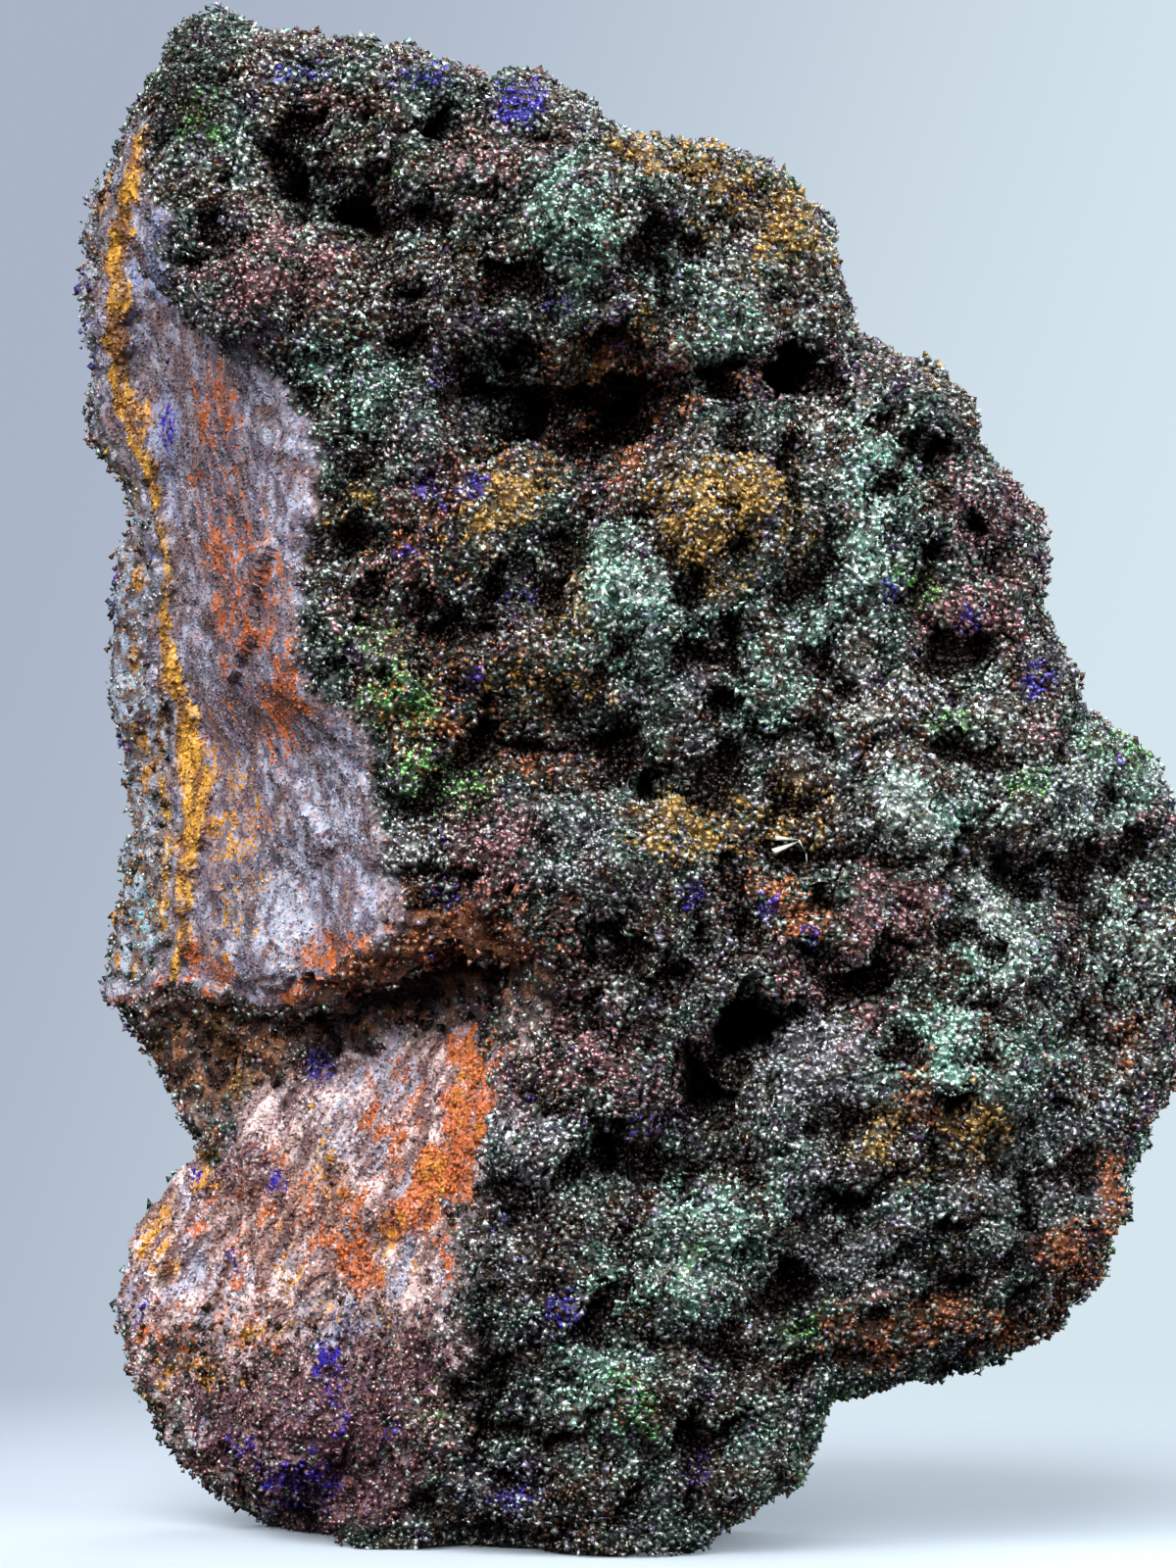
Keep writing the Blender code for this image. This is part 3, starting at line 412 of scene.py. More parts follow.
def crust_relief(points):
    """Height of the crust over the skin, in millimetres."""
    bend = np.stack([ripple(points, 0.8 * MM, s) for s in (18, 19, 20)], axis=1)
    bent = points + 0.25 * MM * bend
    lively = 0.8 + 0.4 * ripple(points, 4 * MM, 21)
    height = np.zeros(len(points))
    for salt, (size, tall) in enumerate(DOME_SIZES):
        height += lively * tall * (domes(bent, size * MM, 22 + salt) - 0.6)
    cave = ease(rough(bent, 1.1 * MM, 26), 0.3, 0.6)
    gap = ease(rough(along_grain(bent, GAP_LEAN, 1.9), 0.6 * MM, 29, 2), 0.05, 0.45)
    return height - CAVE_DEPTH * cave - GAP_DEPTH * gap - CRUST_SETBACK


def break_relief(points):
    """Height of the broken rock over the skin, in millimetres."""
    face_ridges = rough(along_grain(points, FACE_LEAN, 1.5), 0.8 * MM, 31, 4)
    lobe_ridges = rough(along_grain(points, LOBE_LEAN, 3.5), 0.42 * MM, 35, 3)
    low = ease(-points[:, 2] / MM, -LOBE_TOP - 1, -LOBE_TOP)
    grain = domes(points, 0.36 * MM, 33) - 0.6
    fine = rough(points, 0.3 * MM, 39, 2)
    across, up = front_view(points)
    ridge = sum(band(across, up, line, 0.25 * fine) for line in RIDGES)
    crack = sum(band(across, up, line, 0.25 * fine) for line in CRACKS)
    streaks = FACE_STREAKS * face_ridges * (1 - low) + LOBE_STREAKS * lobe_ridges * low
    return streaks + ROCK_GRAIN * grain + FINE_GRIT * fine + RIDGE_HEIGHT * ridge - CRACK_DEPTH * crack


print("domes of", [size for size, tall in DOME_SIZES], "mm")

# %% [markdown]
# Hollows and mounds were read off the front view, so they are pushed along the line of sight
# and not along the normals. Their ovals are bent and frayed with noise, or they would look
# stamped.

# %% Push the hollows in and the mounds out
def seen_ovals(across, up, table, fray, inner, outer, wider=0.0):
    """The greatest value that a table of soft ovals gives at each place of the front view."""
    best = np.zeros(len(across))
    for x, y, wide, tall, value in table:
        reach = np.hypot((across - x) / (wide + wider), (up - y) / (tall + wider)) + fray
        best = np.maximum(best, value * (1 - ease(reach, inner, outer)))
    return best


def bent_view(points, reach, size, salts):
    """The front view of points shifted by noise, which gives ovals an irregular outline."""
    shift = reach * MM * np.stack([rough(points, size * MM, s) for s in salts], axis=1)
    return front_view(points + shift)


def push_from_view(points, normals):
    """How far the hollows go in and the mounds come out, along the line of sight, in mm."""
    across, up = bent_view(points, 0.45, 0.8, (92, 95, 98))
    fray = 0.45 * rough(points, 0.5 * MM, 101)
    front = ease(-normals[:, 1], -0.1, 0.35)
    hollow = seen_ovals(across, up, HOLLOWS, fray, 0.45, 1.25)
    mound = seen_ovals(across, up, MOUNDS, 0.5 * fray, 0.0, 1.3)
    return (hollow - mound * (1 - np.minimum(hollow, 1))) * front, hollow * front


places, normals = corners(stone.data)
push, sunk = push_from_view(places, normals)
print("hollows up to", sunk.max().round(2), "mm deep, mounds up to", -push.min().round(2), "mm high")

# %% [markdown]
# All heights meet here. Where rock is bare the crust's height fades out and the break's fades
# in. The foot stays flat, so that the stone still stands.

# %% Raise the relief
FOOT_BAND = 0.5
VEIN_HEIGHT = 0.05
VEIN_LUMPS = 0.16

parts = broken_parts(places, normals)
bare = np.maximum(parts["face"], parts["lobe"])
half_bare = np.maximum.reduce([parts["recess"], parts["hollow"], parts["edge"]]) * (1 - bare)
height = (1 - bare) * (1 - 0.6 * half_bare) * crust_relief(places)
height += (bare + half_bare * 0.8) * break_relief(places)
across, up = front_view(places)
vein_here = band(across, up, VEIN, 0.5 * ripple(places, 0.4 * MM, 90)) * bare
height += vein_here * (VEIN_HEIGHT + VEIN_LUMPS * domes(places, 0.42 * MM, 91))
foot = 1 - ease(places[:, 2] / MM, 0.05, FOOT_BAND)
height *= 1 - foot * ease(-normals[:, 2], 0.3, 0.8)
push *= 1 - 0.8 * bare
places += normals * (height * MM)[:, None]
places[:, 1] += push * MM
places[:, 2] = np.maximum(places[:, 2], 0)
stone.data.vertices.foreach_set("co", places.ravel())
stone.data.update()
print("relief from", height.min().round(2), "to", height.max().round(2), "mm")

# %% [markdown]
# Hollows are painted darker: this is painted shade, standing in for the shade that falls in them.
# To know how sunken a place is, the surface is compared with a blurred copy of itself: where the
# copy lies outside the surface, there is a hollow. Blurring means that every corner moves to the
# middle of its neighbours, again and again.

# %% Find the hollows of the finished form
BLUR_ROUNDS = 60


def sunken(mesh, places, normals):
    """Millimetres that each corner lies below the blurred surface."""
    ends = np.empty(len(mesh.edges) * 2, np.int32)
    mesh.edges.foreach_get("vertices", ends)
    one, other = ends.reshape(-1, 2).T
    count = np.bincount(one, minlength=len(places)) + np.bincount(other, minlength=len(places))
    blurred = places.copy()
    for _ in range(BLUR_ROUNDS):
        blurred = np.stack([
            np.bincount(one, blurred[other, axis], len(places))
            + np.bincount(other, blurred[one, axis], len(places)) for axis in range(3)
        ], axis=1) / count[:, None]
    return ((blurred - places) * normals).sum(axis=1) / MM


places, normals = corners(stone.data)
depth_below = sunken(stone.data, places, normals)
# Painted shade: 1 keeps the full colour. Corners below the blurred surface and in the listed hollows get
# less, so they are painted darker.
lit = (1 - ease(depth_below, -0.14, 0.26)) * (1 - 0.45 * ease(sunk, 0.3, 1.2))
print("sunken by", np.percentile(depth_below, (5, 50, 95)).round(2), "mm")

# %% [markdown]
# Colour on a mineral is local: each patch is a different growth. The next tables place the
# patches seen on the stone as soft ovals, each with its centre, half width, half height and
# strength. Azurite is the deep blue, malachite the greens, and iron gives ochre, rust and plum.
# Painting an image would be the usual way. Ovals and noise stay sharp at any distance.

# %% Patches of colour, from the front
CRUST_TINTS = {
    "azurite": [
        (9.7, 31.8, 0.5, 0.4, 0.8), (0.2, 26.6, 0.1, 0.7, 0.3), (0.8, 21, 0.1, 0.7, 0.3),
        (1, 15.8, 0.1, 0.7, 0.3), (1.2, 5.3, 0.2, 0.5, 0.3), (4.7, 32.5, 0.6, 0.2, 0.4),
        (7.5, 32.5, 0.6, 0.2, 0.4), (10.5, 27.5, 0.3, 0.2, 0.7), (11.9, 26.6, 0.1, 0.1, 0.6),
        (7.7, 23.4, 0.2, 0.2, 0.7), (8.7, 23.4, 0.2, 0.2, 0.7), (8, 23.1, 0.1, 0.1, 0.7),
        (7.2, 21.9, 0.3, 0.1, 0.6), (9.5, 20.9, 0.5, 0.2, 0.5), (8.7, 19.1, 0.1, 0.2, 0.7),
        (8.1, 14.3, 0.3, 0.2, 0.6), (8, 15.5, 0.1, 0.1, 0.6), (13.5, 14.3, 0.3, 0.2, 0.7),
        (15.2, 14, 0.2, 0.2, 0.7), (16.1, 13.3, 0.2, 0.2, 0.7), (18, 21.1, 0.2, 0.3, 0.6),
        (19.8, 20.5, 0.2, 0.2, 0.6), (21.2, 19.1, 0.3, 0.3, 0.8), (22.9, 17.3, 0.2, 0.1, 0.6),
        (0.2, 27.8, 0.1, 0.2, 0.6), (1.1, 18.5, 0.1, 0.2, 0.6), (1, 17.4, 0.1, 0.2, 0.6),
        (1.5, 22.1, 0.1, 0.3, 0.4), (1.9, 24.7, 0.1, 0.5, 0.5), (5.3, 10.6, 0.3, 0.5, 0.7),
        (4.3, 7.9, 0.2, 0.3, 0.8), (3.3, 6.2, 0.1, 0.2, 0.6), (2.5, 8.2, 0.1, 0.2, 0.6),
        (10.7, 5.1, 0.3, 0.5, 0.6), (5.3, 4.2, 0.2, 0.2, 0.6), (4.9, 1.3, 0.9, 0.6, 0.6),
        (5.4, 3.9, 0.3, 0.7, 0.6), (3.6, 2.1, 0.4, 0.3, 0.4), (5.7, 2.9, 0.2, 0.5, 0.5),
        (6.9, 2.3, 0.2, 0.3, 0.4), (9.7, 1, 0.5, 0.2, 0.6), (13.6, 1.8, 0.3, 0.5, 0.6),
        (12.5, 9.3, 0.3, 0.2, 0.5), (12.4, 8.4, 0.1, 0.1, 0.5), (16.9, 27.7, 0.1, 0.2, 0.3),
    ],
    "ochre": [
        (13.2, 30.7, 1.2, 0.4, 0.8), (0.4, 26.6, 0.2, 1.3, 0.4), (0.7, 23.8, 0.3, 0.7, 0.5),
        (1.3, 15.1, 0.2, 1.3, 0.4), (1.1, 6, 0.3, 1.1, 0.5), (15.7, 29.1, 0.7, 1, 0.8),
        (14.4, 30.1, 0.8, 0.5, 0.6), (13.6, 28.9, 0.4, 0.3, 0.6), (12.2, 27.1, 0.6, 0.4, 0.4),
        (14.3, 22.8, 1.3, 1.3, 1), (5.8, 22.8, 0.5, 0.4, 0.9), (9.5, 23.1, 0.9, 0.7, 0.8),
        (8.4, 22.1, 0.9, 0.6, 0.5), (10.8, 20.3, 0.6, 0.4, 0.6), (10.4, 19.1, 1.1, 0.5, 0.7),
        (13.8, 16.1, 1.3, 0.6, 1), (15.8, 16, 0.6, 0.8, 0.6), (19.9, 9.3, 0.8, 0.7, 0.8),
        (17.8, 9, 0.5, 0.5, 0.7), (11.2, 25.9, 0.6, 0.7, 0.7), (9.1, 19, 0.7, 0.4, 0.5),
        (3.2, 11.2, 0.3, 1, 0.8), (3.5, 9.9, 0.3, 0.5, 0.9), (2.9, 8.3, 0.3, 0.3, 0.6),
        (1.5, 24.9, 0.3, 0.3, 0.7), (2.5, 15.5, 0.3, 1.3, 0.5), (12.3, 8.6, 0.3, 0.2, 0.3),
        (18.7, 8.2, 0.4, 0.2, 0.4),
    ],
    "rust": [
        (11.8, 25.5, 1.4, 1.3, 1), (8.6, 14, 2.4, 0.6, 0.6), (11.7, 17.1, 1.3, 0.4, 0.3),
        (5.4, 10.1, 1.3, 0.7, 0.6), (3.6, 10.5, 1.3, 1.1, 0.5), (9.5, 24, 1.3, 0.6, 0.4),
        (10.4, 21.2, 0.7, 0.6, 0.4), (7.5, 22.1, 1.3, 0.9, 0.4), (12.1, 24, 0.9, 0.7, 0.5),
        (16.7, 25.1, 1.1, 0.4, 0.3), (9.5, 19, 1.1, 1.1, 0.5), (14.7, 14.7, 0.9, 0.7, 0.4),
        (0.3, 27.7, 0.3, 2.2, 0.6), (0.6, 24.7, 0.4, 1.3, 0.7), (1.2, 21.2, 0.3, 2, 0.6),
        (1.3, 17.7, 0.3, 2, 0.7), (1.5, 14.7, 0.3, 2, 0.7), (1.8, 10.5, 0.5, 1.3, 0.4),
        (3.2, 8.6, 0.9, 0.3, 0.5), (1, 6.2, 0.3, 1.3, 0.6), (16, 14, 0.7, 0.7, 0.8),
        (8.3, 13.4, 1.7, 0.8, 1), (5.9, 12.5, 1.3, 0.6, 1), (18.7, 9.9, 0.5, 0.7, 0.8),
        (14.5, 25.9, 0.8, 0.3, 0.8), (7.8, 19.5, 0.9, 0.9, 0.5), (8.2, 18, 0.9, 0.7, 0.6),
        (9.9, 17.4, 0.9, 0.5, 0.6), (23.2, 11.1, 0.5, 0.7, 0.7), (22.8, 7.6, 0.4, 1, 1),
        (22.1, 6.2, 0.7, 0.7, 1), (19.9, 5, 1.8, 0.5, 1), (17.8, 4.5, 1.2, 0.5, 0.9),
        (6.9, 18.2, 0.5, 0.9, 0.5), (17.5, 17.7, 0.4, 1, 0.6),
    ],
    "plum": [
        (4.2, 28.2, 1.6, 1.1, 0.9), (9.5, 9.9, 0.6, 0.9, 0.6), (8.7, 7.3, 0.5, 1.1, 0.5),
        (10.4, 13.4, 1.1, 0.9, 0.5), (13.4, 22.1, 0.7, 1.3, 0.3), (11.7, 22.9, 0.9, 0.7, 0.5),
        (9.1, 30.1, 1.3, 1.1, 0.5), (6.9, 20.8, 1.1, 1.4, 0.7), (7.5, 23.4, 0.9, 1.1, 0.6),
        (9.1, 15.4, 0.9, 1.3, 1), (20.2, 22.9, 1, 0.9, 0.8), (19.5, 20.7, 1.1, 1.1, 0.8),
        (18.6, 13.9, 0.7, 0.9, 1), (17.4, 12.3, 0.6, 1.4, 0.8), (23.2, 15.8, 0.7, 0.9, 0.8),
        (11.3, 11, 1.3, 1.1, 0.8), (13.5, 2.1, 0.6, 0.6, 0.6), (7.5, 2.9, 0.9, 1.3, 0.6),
        (6.6, 9.5, 0.9, 0.9, 0.8), (14.3, 11, 0.9, 0.7, 0.5), (17.1, 25.7, 1.1, 0.7, 0.6),
        (21.5, 17.9, 0.7, 0.5, 0.5), (17.8, 14.7, 0.6, 0.9, 0.6), (16.2, 12.5, 0.9, 0.9, 0.5),
        (13, 10.1, 1.3, 0.6, 0.6), (9.1, 31.4, 0.9, 0.4, 0.4), (5.8, 31.8, 0.9, 0.7, 0.4),
    ],
    "mint": [
        (2.5, 32, 0.9, 1.7, 0.35), (1.1, 19.2, 0.2, 0.7, 0.5), (1.4, 13.9, 0.3, 1, 0.8),
        (1.5, 16.2, 0.2, 0.9, 0.5), (1, 22.1, 0.2, 0.7, 0.4), (0.2, 27.1, 0.2, 1.1, 0.3),
        (1.2, 6.6, 0.3, 0.9, 0.4), (5.2, 24, 0.3, 1.3, 0.3), (3, 33.4, 0.5, 0.7, 0.3),
        (10.9, 29.3, 1, 1, 0.7), (10.4, 28.3, 0.9, 0.7, 0.5), (8, 29, 0.6, 0.3, 0.5),
        (14.1, 27.2, 0.8, 1, 0.7), (13.4, 28.5, 0.9, 0.7, 0.4), (5.8, 25.9, 0.8, 1.3, 0.5),
        (12.1, 21, 1.4, 1.3, 0.9), (14.7, 20.9, 0.9, 0.7, 0.6), (17.6, 22.9, 0.8, 2, 0.9),
        (16.9, 20.5, 0.9, 1.3, 0.6), (15.2, 19, 0.9, 0.9, 0.5), (12.3, 17.7, 0.9, 0.8, 0.4),
        (18.5, 15.9, 0.8, 0.9, 0.9), (22.8, 16.8, 0.9, 1.1, 0.8), (20.2, 13.2, 1, 1.1, 1),
        (19.1, 10.7, 1.1, 0.9, 0.9), (23.2, 13.6, 0.8, 2, 0.6), (21.3, 11.2, 1.1, 1, 0.6),
        (18.6, 7.9, 0.7, 0.3, 0.5), (14.3, 7.2, 1.3, 1, 0.6), (13.2, 5.8, 1.3, 0.8, 0.8),
        (11.9, 6.2, 0.9, 0.7, 0.5), (11.9, 3.3, 1.1, 1.1, 0.6), (14.9, 2.1, 0.7, 0.9, 0.4),
        (11, 8.8, 0.7, 0.5, 0.5), (10.4, 25.1, 0.7, 0.4, 0.2), (5.8, 29.3, 0.9, 0.3, 0.3),
    ],
    "green": [
        (7.1, 18.5, 0.8, 0.6, 1), (6.9, 19.2, 0.5, 0.4, 0.6), (8, 16.8, 1.1, 0.7, 0.6),
        (6.5, 19.9, 0.6, 0.6, 0.5), (19.3, 18.1, 0.6, 0.4, 0.9), (20.8, 16.6, 0.6, 0.3, 0.8),
        (16, 4.8, 0.5, 0.4, 0.6), (2.7, 31.5, 0.3, 0.5, 0.7), (12.5, 2.9, 0.6, 0.5, 0.5),
        (7.5, 3.1, 0.6, 0.7, 0.4), (13.5, 6.2, 0.6, 0.4, 0.6), (10.8, 21.4, 1.1, 0.7, 0.4),
        (23, 17.5, 0.6, 0.3, 0.7), (18.4, 21.2, 0.7, 0.4, 0.6),
    ],
    "white": [
        (18.3, 15.9, 0.6, 0.7, 0.8), (20.2, 13.5, 0.7, 0.7, 0.9), (19.9, 14.3, 0.6, 0.5, 0.8),
        (19, 15.1, 0.4, 0.4, 0.6), (17.3, 19.2, 0.5, 1.3, 0.5), (17.9, 17.7, 0.5, 0.9, 0.5),
        (17.5, 22.1, 0.6, 1.3, 0.4), (9.1, 8.9, 0.5, 0.5, 0.7), (8.4, 7.3, 0.2, 1.1, 0.5),
        (14.2, 27.5, 0.9, 0.7, 0.3), (12.3, 21.2, 0.9, 0.9, 0.3), (22.1, 16.2, 1.1, 1.1, 0.5),
        (19.5, 18.2, 1.3, 1.3, 0.3), (23, 12.9, 1.3, 2.6, 0.3), (20.4, 12.3, 0.7, 0.7, 0.5),
        (13.4, 6, 1.1, 0.4, 0.4), (7.1, 15.3, 0.3, 0.5, 0.8), (23.6, 13.4, 0.6, 1.3, 0.4),
        (15.2, 10.8, 0.4, 0.4, 0.4), (16.7, 24.9, 0.7, 0.9, 0.3),
    ],
    "grey": [
        (16.5, 10.7, 1.3, 0.9, 1), (9.1, 9, 0.7, 0.7, 0.9), (8.4, 6.2, 0.4, 1.1, 0.6),
        (7, 15.3, 0.7, 1.1, 0.8), (0.4, 29.5, 0.3, 1.1, 0.6), (0.2, 26, 0.3, 1.1, 0.6),
        (1, 19.2, 0.3, 1.3, 0.5), (1.5, 30.3, 0.2, 0.9, 0.5), (2.4, 27.1, 0.9, 0.9, 0.7),
        (3.6, 26.5, 1.1, 0.7, 0.7), (5.6, 3.8, 2, 0.9, 0.5), (9.5, 8.2, 0.9, 1.1, 0.6),
        (10.6, 15.3, 1.3, 1.3, 0.7), (13.9, 12.2, 0.7, 0.9, 0.5), (17.1, 6.8, 2.2, 1.7, 0.6),
        (21.3, 8.1, 1.6, 1.6, 0.6), (9.1, 6.4, 1.3, 1.3, 0.5), (17.2, 26.6, 1.3, 0.7, 0.6),
        (13.5, 18.5, 1.3, 0.9, 0.5), (9.7, 9, 0.9, 0.7, 1), (16.7, 16.8, 0.9, 1.3, 0.5),
    ],
}
FACE_TINTS = {
    "rust": [
        (4.7, 7.1, 2, 1.3, 0.45), (2.9, 24.7, 0.5, 1.5, 0.55), (1.9, 12, 1.5, 0.3, 0.8),
        (3.4, 11.8, 1.1, 0.3, 0.8), (3.2, 22.5, 0.7, 1.1, 0.6), (3.7, 20.7, 0.9, 1.4, 0.55),
        (4.5, 18.7, 0.4, 1.1, 0.7), (2.7, 15.3, 0.3, 1.3, 0.5), (3.7, 16, 0.6, 0.5, 0.5),
        (2.8, 12.8, 0.7, 0.5, 0.62), (5.8, 13, 1.1, 0.6, 0.7), (5.4, 12.2, 1, 0.3, 0.7),
        (1.8, 12.4, 0.8, 0.3, 0.5), (3.4, 17.7, 1.1, 1.1, 0.3), (9.1, 10.5, 0.7, 1.2, 1),
        (8.5, 9.2, 0.6, 1.2, 0.9), (8.1, 7.8, 0.6, 1.2, 0.9), (7.2, 7.3, 0.7, 0.6, 0.75),
        (6.1, 6.2, 0.6, 0.7, 0.75), (6.9, 8.4, 0.3, 1.3, 0.55), (4.7, 7.5, 0.7, 1.2, 0.5),
        (5.6, 7.1, 0.3, 1.5, 0.5), (3.6, 7, 0.5, 1, 0.4), (1.9, 4.3, 1, 0.3, 0.5),
        (3.9, 4.6, 1.1, 0.3, 0.55), (7.4, 9.9, 0.3, 1.1, 0.6), (6.5, 9.7, 0.2, 0.9, 0.5),
        (8.2, 6, 0.3, 0.7, 0.5), (3.2, 5.3, 1.3, 0.4, 0.35),
    ],
    "ochre": [
        (3.3, 15.5, 1, 2.2, 0.4), (8.6, 9.7, 0.3, 1.3, 0.35), (7.9, 7.8, 0.3, 1, 0.4),
        (6.9, 6.8, 0.3, 0.9, 0.4), (2.3, 3.8, 1.1, 0.3, 0.6), (4, 4.8, 1, 0.2, 0.6),
        (1.5, 3.2, 0.3, 0.7, 0.5), (5.4, 5, 0.4, 0.4, 0.3), (6.8, 5, 0.7, 0.5, 0.35),
        (3.2, 3.5, 0.7, 0.2, 0.4), (2.5, 8.4, 0.6, 0.3, 0.6), (1.7, 6.8, 0.4, 0.9, 0.6),
        (3.2, 15.1, 0.6, 1.1, 0.5), (1.5, 30.3, 0.3, 0.5, 0.6), (1.5, 25, 0.3, 0.4, 0.7),
        (4.5, 6.2, 0.3, 0.9, 0.4), (5.4, 8.4, 0.4, 0.9, 0.4),
    ],
    "pale": [
        (4.5, 13.6, 0.7, 1.3, 0.75), (5.8, 16.4, 0.9, 1.1, 0.55), (4.7, 15.5, 0.6, 0.6, 0.6),
        (4, 24.7, 0.7, 1.4, 0.25), (4.7, 20.8, 0.3, 1.5, 0.35), (9.1, 8.9, 0.6, 0.5, 0.9),
        (8, 6.2, 0.2, 1, 0.8), (6, 9, 1, 1.1, 0.6), (5.2, 6.8, 0.4, 0.9, 0.4), (2.8, 5.7, 0.7, 0.4, 0.5),
        (0.6, 12.3, 0.3, 0.2, 0.6), (3.2, 14.2, 0.4, 0.7, 0.5),
    ],
    "plum": [
        (3.4, 8.3, 1.3, 0.8, 0.6), (2.3, 3.8, 2, 1.3, 0.5), (5.6, 2.7, 2.2, 1.5, 1),
        (6.9, 3.4, 1.1, 1.3, 0.9), (3.2, 2.5, 1.3, 1.1, 0.8), (5.8, 1, 2, 1.1, 1),
        (4.7, 4, 1.5, 0.5, 0.6), (3.3, 18.2, 1.1, 0.9, 0.5), (3.5, 19.9, 0.4, 0.9, 0.4),
        (3, 16.8, 0.6, 0.7, 0.5), (6.6, 9.2, 0.7, 0.8, 0.5), (5.2, 9.2, 0.7, 0.6, 0.4),
        (4.7, 3.2, 1.3, 0.9, 0.8),
    ],
    "slate": [
        (2.8, 7.5, 1.1, 1.1, 0.4), (3.6, 3.8, 1.3, 0.9, 0.5), (6.2, 4.7, 1.1, 0.6, 0.6),
        (2.1, 2.7, 0.9, 0.7, 0.4), (6.9, 1.6, 0.9, 0.9, 0.5), (1, 5.3, 0.7, 0.9, 0.5),
        (1.7, 28.6, 0.3, 1.3, 0.9), (2, 24, 0.2, 1.6, 0.8), (3.4, 7.6, 0.5, 1.3, 0.4),
        (2.5, 8.2, 0.2, 0.3, 0.6), (4, 6.8, 0.2, 0.9, 0.4), (3.2, 6, 0.9, 0.4, 0.4),
        (1.3, 21.2, 0.3, 1.7, 0.5), (1.5, 15.1, 0.3, 1.3, 0.4),
    ],
}

# %% [markdown]
# The sides and the back weren't in view. They wear the same crust, so their patches are drawn
# by noise: where a slow ripple is high, there is a patch. That keeps green, plum and a few blue
# spots in about the same shares all round. Every strength is kept on the mesh as an attribute,
# which a material can read by name.

# %% Turn the patches into strengths
# Size of the ripple in mm, where a patch begins, and where it is full.
UNSEEN = {
    "azurite": (1.1, 0.5, 0.62), "ochre": (3.2, 0.42, 0.75), "rust": (3.6, 0.4, 0.75),
    "plum": (3.0, 0.1, 0.6), "mint": (2.6, 0.0, 0.5), "green": (2.2, 0.42, 0.7),
    "grey": (3.4, 0.2, 0.7), "white": (1.6, 0.6, 0.9),
}


def patches(across, up, table, fray):
    """Strength of the strongest patch at each point."""
    return seen_ovals(across, up, table, fray, 0.55, 1.5, wider=0.05)


def tints(points, normals):
    """Strength of every tint at each point, from 0 to 1."""
    plain_across, plain_up = front_view(points)
    across, up = bent_view(points, 0.5, 1.1, (41, 44, 47))
    fray = 0.5 * ripple(points, 0.4 * MM, 50)
    front = ease(-normals[:, 1] - 0.4 * normals[:, 0], -0.35, 0.0)
    parts = broken_parts(points, normals)
    bare = np.maximum(parts["face"], parts["lobe"])
    strength = {}
    for number, (kind, (size, low, high)) in enumerate(UNSEEN.items()):
        behind = ease(rough(points, size * MM, 60 + 3 * number), low, high) * (1 - front)
        crust = patches(across, up, CRUST_TINTS[kind], fray) * front
        strength[kind] = np.maximum(crust, behind) * (1 - bare)
    for kind in ("rust", "ochre", "plum"):
        strength[kind] += bare * patches(across, up, FACE_TINTS[kind], fray)
    blue = patches(plain_across, plain_up, CRUST_TINTS["azurite"], fray * 0.6)
    strength["azurite"] = np.maximum(strength["azurite"] * (1 - front), blue * np.maximum(front, bare))
    strength["pale"] = bare * patches(across, up, FACE_TINTS["pale"], fray)
    strength["slate"] = bare * patches(across, up, FACE_TINTS["slate"], fray)
    wide_vein = band(plain_across, plain_up, VEIN, 0.5 * ripple(points, 0.4 * MM, 90))
    vein = np.maximum(wide_vein, 0.8 * band(plain_across, plain_up, THIN_VEIN, fray))
    left = ease(-normals[:, 0] - 0.4 * normals[:, 1], -0.3, 0.1)
    strength["vein"] = vein * left
    strength["bare"] = bare
    strength["lobe"] = parts["lobe"]
    strength["half"] = np.maximum(parts["recess"], parts["hollow"]) * (1 - bare)
    strength["edge"] = parts["edge"] * (1 - bare)
    return strength


def store(mesh, strength):
    """Keeps every strength on the mesh, where the material can read it by name."""
    for name, values in strength.items():
        layer = mesh.attributes.new(name, "FLOAT", "POINT")
        layer.data.foreach_set("value", values.astype(np.float32))


places, normals = corners(stone.data)
skin_tints = tints(places, normals)
across, up = front_view(places)
# Painted shade: the listed dark spots also darken the front of the crust.
painted_shade = seen_ovals(across, up, PAINTED_SHADES, 0.3 * rough(places, 0.45 * MM, 110), 0.3, 1.4)
skin_tints["lit"] = lit * (1 - painted_shade * ease(-normals[:, 1], -0.3, 0.2))
store(stone.data, skin_tints)
print("mean strengths:", {k: round(float(v.mean()), 3) for k, v in skin_tints.items()})

# %% [markdown]
# A material reads those strengths by name and mixes one colour after another over dark rock.
# Each factor is also broken up with fine noise, because real patches are made of single grains.
# All node colours are linear, so they look darker here than on screen.

# %% Colours of the minerals
EARTH = ((0.10, 0.042, 0.022), (0.038, 0.085, 0.065))
VIOLET_EARTH = (0.075, 0.04, 0.10)
PALE_GRAIN = (0.80, 0.92, 0.86)
# Near-black colour of painted shade on the crust.
PAINTED_SHADE_COLOUR = (0.02, 0.011, 0.008)
CRYSTAL_COLOURS = {
    "grey": (0.46, 0.47, 0.52),
    "plum": (0.52, 0.26, 0.28),
    "mint": (0.52, 0.88, 0.74),
    "green": (0.25, 0.62, 0.20),
    "rust": (0.58, 0.20, 0.08),
    "ochre": (0.55, 0.33, 0.08),
    "white": (0.94, 0.98, 0.95),
    "azurite": (0.06, 0.04, 0.50),
}
EARTHY = ("rust", "ochre", "azurite")
FACE_ROCK = ((0.15, 0.135, 0.20), (0.40, 0.42, 0.56))
LOBE_ROCK = ((0.24, 0.14, 0.15), (0.92, 0.72, 0.72))
LOBE_BLUE = (0.50, 0.51, 0.66)
BROWN = (0.17, 0.09, 0.07)
